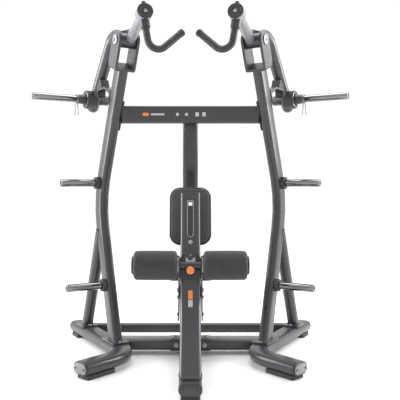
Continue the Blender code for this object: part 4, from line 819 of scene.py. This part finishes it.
def end_cap_shape(cap, foot):
    """A moulded cap with a rounded rim, a sunk panel and two screws, and the screws."""
    along = middle_of(cap) - middle_of(foot)
    along.z = 0.0
    middle = middle_of(cap)
    place = facing(middle, along)
    low, high = box_in(cap, place)
    width, height, depth = high - low
    base = place @ Matrix.Translation((0, 0, low.z))
    steps = ((0.0, 0.0), (0.0, 0.55), (0.0012, 0.75), (0.0035, 0.92), (0.0065, 1.0), (0.0120, 1.0), (0.0135, 0.88))
    layers = []
    for inset, rise in steps:
        outline = rounded_rectangle(width - 2 * inset, height - 2 * inset, 0.033 - inset)
        layers.append((outline, depth * rise))
    shape = loft(layers, base)
    screws = bmesh.new()
    for side in (-1, 1):
        spot = base @ Matrix.Translation((side * (width / 2 - 0.024), 0, depth + 0.0004))
        socket_head(spot, 0.0062, 0.0034, shape=screws)
    face = []
    for inset, rise in ((0.0080, -0.0012), (0.0080, 0.0002), (0.0088, 0.0008)):
        outline = rounded_rectangle(width - 2 * inset, height - 2 * inset, 0.033 - inset)
        face.append((outline, depth + rise))
    return shape, screws, loft(face, base)


def ribbed_foot(foot, cap):
    """A rubber foot with grooves round its sides."""
    along = middle_of(cap) - middle_of(foot)
    along.z = 0.0
    place = frame_at(middle_of(foot), along.cross(UP), UP)
    low, high = box_in(foot, place)
    size = high - low
    layers = []
    levels = 25
    for step in range(levels + 1):
        rise = step / levels
        groove = 0.0016 * (0.5 - 0.5 * math.cos(2 * math.pi * 3 * rise)) ** 2
        flare = 0.0010 * rise
        inset = groove + flare if 0 < step < levels else 0.0015
        outline = rounded_rectangle(size.x - 2 * inset, size.y - 2 * inset, 0.012 - min(inset, 0.004))
        layers.append((outline, low.z + size.z * rise))
    return loft(layers, place)


def add_rail_ends():
    for end in ("front", "rear"):
        cap, screws, face = end_cap_shape(f"right_{end}_end_cap", f"right_{end}_foot")
        # painted highlight: the side rails' end caps get a lighter grey face for light falling on them, while the
        # centre cap's face keeps the dark paint
        add_pair(f"{end}_cap_face", face, "cap_face_highlight_paint")
        add_pair(f"{end}_cap", cap, "cap_plastic", slot="cap_plastic", stands_for=(f"{end}_end_cap",))
        add_pair(f"{end}_cap_screws", screws, "handle_paint")
        foot = ribbed_foot(f"right_{end}_foot", f"right_{end}_end_cap")
        add_pair(f"{end}_rubber_foot", foot, "foot_rubber", slot="foot_rubber", stands_for=(f"{end}_foot",))
    cap, screws, face = end_cap_shape("centre_end_cap", "centre_foot")
    add_piece("centre_cap_face", face, "handle_paint", "frame")
    add_piece("centre_cap", cap, "cap_plastic", "frame", "cap_plastic", ("centre_end_cap",))
    add_piece("centre_cap_screws", screws, "handle_paint", "frame")
    foot = ribbed_foot("centre_foot", "centre_end_cap")
    add_piece("centre_rubber_foot", foot, "foot_rubber", "frame", "foot_rubber", ("centre_foot",))


UPRIGHT_PLATE_BOLTS, LEG_PLATE_BOLTS = 0.081, 0.051  # either side of the plate's middle
LEG_BACK = 0.482  # from the upright's foot
FLANGE = Vector((-0.0383, 0.1636, -0.425))  # middle of the beam's end flange, in the side's frame
STUB = 0.003  # height of the bolt stubs in the CAD, which the bolts cover
FLANGE_BOLTS, UPRIGHT_LEAN = 0.079, math.radians(22.66)


def add_bolts():
    """Hexagon bolts where the pieces of the frame are bolted together."""
    plates = bmesh.new()
    for back, reach in ((0.0, UPRIGHT_PLATE_BOLTS), (LEG_BACK, LEG_PLATE_BOLTS)):
        for side in (-1, 1):
            spot = Vector((0, back + side * reach, PLATE_TOP))
            washer_and_hex(SIDE_FLOOR @ facing(spot, UP, side * 0.4), shape=plates)
    lean = Vector((0, -math.sin(UPRIGHT_LEAN), math.cos(UPRIGHT_LEAN)))
    for side in (-1, 1):
        spot = FLANGE + lean * FLANGE_BOLTS * side
        washer_and_hex(SIDE @ facing(spot, -ACROSS, side * 0.3), shape=plates)
    add_pair("frame_bolts", plates, "shaft_zinc")

    saddle = bmesh.new()
    low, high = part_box("right_front_cross_member")
    front, top = low.y + STUB, high.z - STUB
    washer_and_hex(facing((0.088, front, (low.z + top) / 2), -BACK, 0.2), 1.3, shape=saddle)
    washer_and_hex(facing((0.098, middle_of("right_front_cross_member").y + 0.004, top), UP, 0.5), 1.3, shape=saddle)
    add_pair("saddle_bolts", saddle, "arm_silver")

    plate_face = 0.0673
    sides = bmesh.new()
    for y, z in ((-0.317, 0.487), (-0.332, 0.448), (-0.384, 0.365), (-0.212, 0.460)):
        washer_and_hex(facing((plate_face, y, z), ACROSS, y * 9), 0.95, shape=sides)
    add_pair("seat_plate_bolts", sides, "shaft_zinc")

    column_foot = middle_of("rear_cross_member").y
    rear = bmesh.new()
    washer_and_hex(facing((0.062, column_foot, 0.1003), UP, 0.3), shape=rear)
    add_pair("column_bolts", rear, "shaft_zinc")


def add_foot_welds():
    """Beads where the tubes stand on their plates."""
    side_beads = bmesh.new()
    for back, width, length, corner in ((0.0, 0.062, 0.1115, 0.021), (LEG_BACK, 0.078, 0.083, 0.0385)):
        place = SIDE_FLOOR @ Matrix.Translation((0, back, PLATE_TOP))
        weld_bead(loop_path(rounded_rectangle(width, length, corner), place), 0.0034, shape=side_beads)
    add_pair("foot_welds", side_beads, "weld")
    column_foot = middle_of("rear_cross_member").y
    post_foot = -0.342 - 0.012 - math.tan(math.radians(39)) * (0.407 - PLATE_TOP)
    middle_beads = bmesh.new()
    spots = ((post_foot, PLATE_TOP, 0.114, 0.0920, 0.022), (column_foot - 0.001, 0.1003, 0.098, 0.0660, 0.020))
    for y, z, width, length, corner in spots:
        place = Matrix.Translation((0, y, z))
        weld_bead(loop_path(rounded_rectangle(width, length, corner), place), 0.0034, shape=middle_beads)
    add_piece("centre_welds", middle_beads, "weld", "frame")


# ---------------------------------------------------------------- post: cover, carriage, rollers, pull pin
POST_FACE = 0.033  # the post's front face behind the axle's centre line


def add_post_cover():
    """The moulded strip on the post's face, with a raised rim round a sunk panel, and the bolt below it."""
    low, high = box_in("post_cover", CARRIAGE)
    half, length = (high.x - low.x) / 2, high.z - low.z
    place = CARRIAGE @ facing((0, high.y, (low.z + high.z) / 2), -BACK)

    def outline(inset):
        reach, top = half - inset, length / 2 - inset
        arc = [math.pi + math.pi * step / 20 for step in range(21)]
        points = [Vector((reach * math.cos(a), -length / 2 + half + reach * math.sin(a))) for a in arc]
        corner = 0.004
        for x, turn in ((1, 0), (-1, 1)):
            for step in range(5):
                a = math.pi / 2 * (turn + step / 4)
                points.append(Vector((x * (reach - corner), top - corner)) + corner * Vector((math.cos(a), math.sin(a))))
        return points

    depth = high.y - low.y
    steps = ((0.0, 0.0), (0.0, 0.70), (0.0008, 0.90), (0.0022, 1.0), (0.0045, 1.0), (0.0055, 0.86), (0.0060, 0.80))
    strip = loft([(outline(inset), depth * rise) for inset, rise in steps], place)
    add_piece("post_strip", strip, "cap_plastic", "frame", "cap_plastic", ("post_cover",))
    bolt_place = CARRIAGE @ facing((0, high.y + 0.0004, 0.1322), -BACK)
    add_piece("post_bolt", washer_and_hex(bolt_place, 1.05), "arm_silver", "frame")
    stop_place = CARRIAGE @ facing((0, POST_FACE + 0.0036, 0.060), -BACK)
    add_piece("post_stop_bolt", socket_head(stop_place, 0.0085, 0.0040), "arm_silver", "frame")
    # painted highlight: a thin bright silver band along the strip's outer edge, standing in for light catching that
    # edge
    rim_place = place @ Matrix.Translation((0, 0, depth * 0.80 - 0.0008))
    inner, outer = outline(0.0034), outline(0.0002)
    rim = [(outer, 0.0), (outer, 0.0026), (inner, 0.0026), (inner, 0.0)]
    add_piece("strip_edge_highlight", loft(rim, rim_place), "arm_silver", "frame")
    label_place = place @ Matrix.Translation((0, length / 2 - 0.020, depth * 0.80 - 0.0002))
    card = [(rounded_rectangle(0.022, 0.020, 0.002), 0.0), (rounded_rectangle(0.022, 0.020, 0.002), 0.0008)]
    add_piece("strip_label", loft(card, label_place), label_film("white_film", (0.80, 0.80, 0.80)), "frame")


def add_carriage_details():
    """Bright discs inside the rollers, a sleeve on the axle, a notched lip, the pin and its fluted knob."""
    inner = box_in("right_roller", CARRIAGE)[0].x
    disc_place = CARRIAGE @ facing((0.0646, 0, 0), ACROSS)
    depth = inner - 0.0646 - 0.0006
    disc = [(0.0, 0.0142), (0.0, 0.0540), (depth * 0.5, 0.0555), (depth, 0.0540), (depth, 0.0142)]
    for side, mirror in SIDES.items():
        add_piece(f"{side}_roller_disc", turned(disc, disc_place, ring=True), "shaft_zinc", "roller_carriage",
                  mirror=mirror)
    sleeve = [(-0.0578, 0.0142), (-0.0578, 0.0190), (0.0578, 0.0190), (0.0578, 0.0142)]
    sleeve_place = CARRIAGE @ facing((0, 0, 0), ACROSS)
    add_piece("axle_sleeve", turned(sleeve, sleeve_place, ring=True), "carriage_paint", "roller_carriage")
    arc = [math.pi + math.pi * step / 12 for step in range(13)]
    notch = [Vector((0.015 * math.cos(a), 0.043 + 0.015 * math.sin(a))) for a in arc]
    corners = ((0.026, 0.043), (0.026, 0.012), (-0.026, 0.012), (-0.026, 0.043))
    lip = notch + [Vector(corner) for corner in corners]
    lip_place = CARRIAGE @ facing((0, 0.0245, 0), -BACK)
    add_piece("carriage_lip", loft([(lip, 0.0), (lip, 0.0125)], lip_place), "shaft_zinc", "roller_carriage")
    low, high = box_in("pull_pin", CARRIAGE)
    middle = (low + high) / 2
    pin_place = CARRIAGE @ facing((0, high.y, middle.z), -BACK)
    length = high.y - low.y
    radius = (high.x - low.x) / 2
    knob_back = length - 0.022
    pin = turned(softened([(0.0, 0.001), (0.0, 0.0054), (knob_back + 0.002, 0.0054), (knob_back + 0.002, 0.001)], 0.001),
                 pin_place, count=24)
    add_piece("pin_rod", pin, "shaft_zinc", "pull_pin")
    steps = ((0.00, 0.60), (0.10, 0.66), (0.28, 0.90), (0.48, 1.0), (0.72, 0.985), (0.86, 0.92), (0.95, 0.80), (1.0, 0.62))
    layers = [(fluted(radius * r, 12, 0.0011 * min(1.0, 1.6 - r)), knob_back + 0.022 * h) for h, r in steps]
    layers += [(circle(radius * 0.46, 96), length - 0.0012), (circle(radius * 0.10, 96), length - 0.0014)]
    add_piece("pin_knob", loft(layers, pin_place), "knob_orange", "pull_pin", "knob_orange", ("pull_pin",))


ROLLER_WAVE = 0.0006


def add_rollers():
    """Foam rollers with soft rims, and their end caps with a bolt."""
    low, high = box_in("right_roller", CARRIAGE)
    radius, length = (high.z - low.z) / 2, high.x - low.x
    place = CARRIAGE @ facing((low.x, 0, 0), ACROSS)
    rim = 0.020
    profile = [(0.002, 0.0150), (0.0, 0.0200), (0.0, 0.0480), (0.0012, 0.0560)]
    profile += [(rim * (1 - math.cos(a)), radius - rim * (1 - math.sin(a))) for a in
                [math.pi / 2 * step / 8 for step in range(9)]]
    steps = 22
    barrel = [(rim + (length - 2 * rim) * step / steps, radius + 0.0008 * math.sin(math.pi * step / steps))
              for step in range(1, steps)]
    profile = [*profile, *barrel, *[(length - h, r) for h, r in reversed(profile)]]
    shape = turned(profile, place, ring=True, count=72)
    for vertex in shape.verts:
        local = place.inverted() @ vertex.co
        out = Vector((local.x, local.y, 0.0))
        if out.length > radius * 0.7:
            swell = noise.noise(local * 26.0) * ROLLER_WAVE
            vertex.co = place @ (local + out.normalized() * swell)
    made = add_pair("foam_roller", shape, "roller_foam", "{side}_knee_roller", "roller_foam", ("roller",))
    cap_low, cap_high = box_in("right_roller_end_cap", CARRIAGE)
    cap_place = CARRIAGE @ facing((cap_low.x, 0, 0), ACROSS)
    cap_radius, depth = (cap_high.z - cap_low.z) / 2, cap_high.x - cap_low.x
    cap = [(0.0, 0.001), (0.0, cap_radius), (depth, cap_radius), (depth, 0.030), (depth - 0.0035, 0.027)]
    cap += [(depth - 0.0035, 0.001)]
    cap_shape = turned(softened(cap, 0.0035), cap_place)
    bolt = washer_and_hex(cap_place @ Matrix.Translation((0, 0, depth - 0.0038)), 0.9)
    for side, mirror in SIDES.items():
        node = f"{side}_roller_end_cap"
        add_piece(f"{side}_roller_cap", cap_shape, "cap_plastic", "roller_carriage", "cap_plastic", (node,), mirror)
        add_piece(f"{side}_roller_bolt", bolt, "shaft_zinc", "roller_carriage", mirror=mirror)


# ---------------------------------------------------------------- printed films
def film(name, node, centre, size, corner, colour):
    """A thin printed film laid on a node's front face: centre and size are (x, z)."""
    surface = bmesh.new()
    surface.from_mesh(NODES[node].data)
    tree = BVHTree.FromBMesh(surface)
    surface.free()
    outline = rounded_rectangle(size[0], size[1], corner)

    def on_face(point, stand_off):
        start = Vector((centre[0] + point.x, -2.0, centre[1] + point.y))
        hit = tree.ray_cast(start, BACK)[0]
        return hit - BACK * stand_off

    rings = [[on_face(p * scale, lift) for p in outline] for scale, lift in
             ((1.0, -0.0004), (1.0, 0.0005), (0.99, 0.0006), (0.66, 0.0006), (0.33, 0.0006), (0.03, 0.0006))]
    shape = bmesh.new()
    skin(shape, rings)
    return add_piece(name, shape, label_film(f"{name}_film", colour), "frame", angle=60)


WHITE, ORANGE = (0.46, 0.46, 0.46), (0.70, 0.20, 0.045)


def add_films():
    """Plain coloured patches, without lettering, where the machine carries its markings."""
    z = middle_of("top_cross_beam").z
    film("beam_patch_1", "top_cross_beam", (-0.277, z), (0.040, 0.020), 0.0095, ORANGE)
    film("beam_patch_2", "top_cross_beam", (-0.203, z), (0.085, 0.011), 0.005, WHITE)
    for number, x in enumerate((-0.080, -0.024)):
        film(f"beam_mark_{number + 1}", "top_cross_beam", (x, z), (0.019, 0.019), 0.0094, WHITE)
    for number, x in enumerate((0.042, 0.084)):
        film(f"beam_mark_{number + 3}", "top_cross_beam", (x, z), (0.022, 0.026), 0.005, WHITE)
    film("post_patch_1", "front_post", (0.0, 0.468), (0.024, 0.046), 0.002, ORANGE)
    film("post_patch_2", "front_post", (0.0, 0.424), (0.024, 0.034), 0.002, WHITE)


# ---------------------------------------------------------------- cushions
SHRINK = 0.005  # the stuffing shape starts this much inside the pad, because it swells
SWELL_CAP = 0.009
SWELL_FRAMES = 20
BOARD = 0.010


def cushion_blank(name, place, width, length, corner, thickness):
    """A plain rounded pad, remeshed evenly, with the points near its board pinned."""
    steps = ((0.010, BOARD * 0.5), (0.0, BOARD), (0.0, thickness - 0.024), (0.006, thickness - 0.012))
    steps += ((0.020, thickness - 0.005), (0.040, thickness - 0.004))
    layers = []
    for inset, height in steps:
        i = inset + SHRINK
        outline = rounded_rectangle(width - 2 * i, length - 2 * i, max(0.012, corner - i))
        layers.append((outline, height))
    shape = loft(layers)
    mesh = bpy.data.meshes.new(name)
    bmesh.ops.recalc_face_normals(shape, faces=shape.faces)
    shape.to_mesh(mesh)
    blank = bpy.data.objects.new(name, mesh)
    bpy.context.scene.collection.objects.link(blank)
    remesh = blank.modifiers.new("even", "REMESH")
    remesh.mode = "VOXEL"
    remesh.voxel_size = 0.0055
    depsgraph = bpy.context.evaluated_depsgraph_get()
    even = bpy.data.meshes.new_from_object(blank.evaluated_get(depsgraph))
    blank.modifiers.clear()
    blank.data = even
    held = blank.vertex_groups.new(name="held")
    held.add([v.index for v in even.vertices if v.co.z < BOARD * 1.1], 1.0, "REPLACE")
    blank.matrix_world = place
    return blank


def stuff(cushions):
    """Swells the blanks with the cloth simulation, and leaves the result in their meshes."""
    scene = bpy.context.scene
    before = {c: [v.co.copy() for v in c.data.vertices] for c in cushions}
    for cushion in cushions:
        cloth = cushion.modifiers.new("stuffing", "CLOTH")
        cloth.settings.use_pressure = True
        cloth.settings.uniform_pressure_force = 4.0
        cloth.settings.effector_weights.gravity = 0.0
        cloth.settings.vertex_group_mass = "held"
        cloth.settings.tension_stiffness = 25.0
        cloth.settings.bending_stiffness = 2.0
        cloth.point_cache.frame_end = SWELL_FRAMES
    for number in range(1, SWELL_FRAMES + 1):
        scene.frame_set(number)
    depsgraph = bpy.context.evaluated_depsgraph_get()
    for cushion in cushions:
        swollen = bpy.data.meshes.new_from_object(cushion.evaluated_get(depsgraph))
        for vertex, start in zip(swollen.vertices, before[cushion]):
            move = vertex.co - start
            if move.length > SWELL_CAP:
                vertex.co = start + move * (SWELL_CAP / move.length)
        cushion.modifiers.clear()
        cushion.data = swollen
    scene.frame_set(1)


def finish_cushion(cushion, node):
    """Smooths the stuffed mesh, fixes it in place and gives it its cover."""
    shape = bmesh.new()
    shape.from_mesh(cushion.data)
    for _ in range(3):
        bmesh.ops.smooth_vert(shape, verts=shape.verts, factor=0.5, use_axis_x=True, use_axis_y=True, use_axis_z=True)
    bmesh.ops.subdivide_edges(shape, edges=shape.edges, cuts=1, smooth=0.6, use_grid_fill=True)
    bmesh.ops.transform(shape, matrix=cushion.matrix_world, verts=shape.verts)
    name = cushion.name
    bpy.data.objects.remove(cushion)
    made = add_piece(name, shape, "pad_upholstery", "frame", "pad_upholstery", (node,), angle=80)


def add_pad_trim(name, place, width, length, corner, board_finish, screw_finish):
    """The board behind a pad, its screws, and the piping round the cover's edge."""
    inset = 0.012
    outline = rounded_rectangle(width - 2 * inset, length - 2 * inset, corner - inset, 10)
    tucked = rounded_rectangle(width - 2 * inset - 0.004, length - 2 * inset - 0.004, corner - inset - 0.002, 10)
    board = loft([(tucked, 0.0006), (outline, 0.0022), (outline, BOARD), (tucked, BOARD + 0.001)], place)
    add_piece(f"{name}_board", board, board_finish, "frame")
    edge = rounded_rectangle(width - 0.007, length - 0.007, corner - 0.0035, 12)
    piping = tube_along(resampled_loop([place @ Vector((p.x, p.y, BOARD + 0.0008)) for p in edge], 0.005), 0.0031, 10,
                        closed=True)
    add_piece(f"{name}_piping", piping, "pad_upholstery", "frame", "pad_upholstery")
    screws = bmesh.new()
    for x in (-1, 1):
        for y in (-1, 1):
            spot = place @ Matrix.Translation((x * width * 0.36, y * length * 0.34, 0.0012))
            socket_head(spot @ Matrix.Rotation(math.pi, 4, "X"), 0.0065, 0.0026, shape=screws)
    add_piece(f"{name}_screws", screws, screw_finish, "frame")


def add_cushions():
    low, high = box_in("chest_pad", CARRIAGE)
    size = high - low
    chest_place = CARRIAGE @ facing((0, low.y, (low.z + high.z) / 2), BACK)
    chest = (chest_place, size.x, size.z, 0.0625, size.y)
    low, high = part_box("seat_pad")
    seat_size = high - low
    seat_place = Matrix.Translation((0, (low.y + high.y) / 2, low.z))
    seat = (seat_place, seat_size.x, seat_size.y, 0.060, seat_size.z)
    blanks = [cushion_blank("chest_cushion", *chest), cushion_blank("seat_cushion", *seat)]
    stuff(blanks)
    finish_cushion(blanks[0], "chest_pad")
    finish_cushion(blanks[1], "seat_pad")
    add_pad_trim("chest", *chest[:-1], "pad_upholstery", "handle_paint")
    add_pad_trim("seat", *seat[:-1], "board", "shaft_zinc")


def add_pieces():
    add_storage_horns()
    add_weight_horns()
    add_spring_collars()
    add_levers()
    add_front_arms()
    add_handles()
    add_pivot_shafts()
    add_rail_ends()
    add_bolts()
    add_foot_welds()
    add_post_cover()
    add_carriage_details()
    add_rollers()
    add_films()
    add_cushions()


add_pieces()


# ---------------------------------------------------------------- studio
def make_studio():
    """A pale floor and a white surround."""
    low, high = CAD_BOX
    shape = bmesh.new()
    bmesh.ops.create_grid(shape, x_segments=8, y_segments=8, size=14.0)
    mesh = bpy.data.meshes.new("floor")
    shape.to_mesh(mesh)
    shape.free()
    floor = bpy.data.objects.new("floor", mesh)
    bpy.context.scene.collection.objects.link(floor)
    floor.location.z = low.z - 0.0005
    pale = Finish("pale_floor", (0.98, 0.98, 0.98), 0.50)
    pale.rough(pale.noise(3.0), 0.40, 0.50)
    mesh.materials.append(pale.material)

    world = bpy.data.worlds.new("studio")
    bpy.context.scene.world = world
    world.use_nodes = True
    world.node_tree.nodes["Background"].inputs["Color"].default_value = (1.0, 1.0, 1.0, 1.0)
    world.node_tree.nodes["Background"].inputs["Strength"].default_value = 1.05


def add_light(name, location, target, size, power):
    data = bpy.data.lights.new(name, "AREA")
    data.shape = "RECTANGLE"
    data.size, data.size_y = size
    data.energy = power
    light = bpy.data.objects.new(name, data)
    bpy.context.scene.collection.objects.link(light)
    light.location = location
    light.rotation_euler = (Vector(target) - Vector(location)).to_track_quat("-Z", "Y").to_euler()


def make_camera():
    """A level camera on the machine's middle plane, as in the photograph."""
    data = bpy.data.cameras.new("camera")
    data.sensor_width = 36.0
    data.lens = 54.0
    data.shift_x, data.shift_y = 0.024, -0.0425
    camera = bpy.data.objects.new("camera", data)
    bpy.context.scene.collection.objects.link(camera)
    camera.location = (0.0, -3.632, 1.075)
    camera.rotation_euler = (math.radians(90), 0.0, 0.0)
    bpy.context.scene.camera = camera
    bpy.context.scene.view_settings.view_transform = "Standard"


make_studio()
add_light("left_softbox", (-4.2, 0.6, 2.2), (0, 0, 1.0), (1.6, 3.2), 210)
add_light("right_softbox", (4.2, 1.0, 2.6), (0, 0, 1.0), (1.6, 3.2), 200)
add_light("top_softbox", (0.0, 0.5, 4.6), (0, 0, 0.8), (3.0, 2.0), 80)
make_camera()
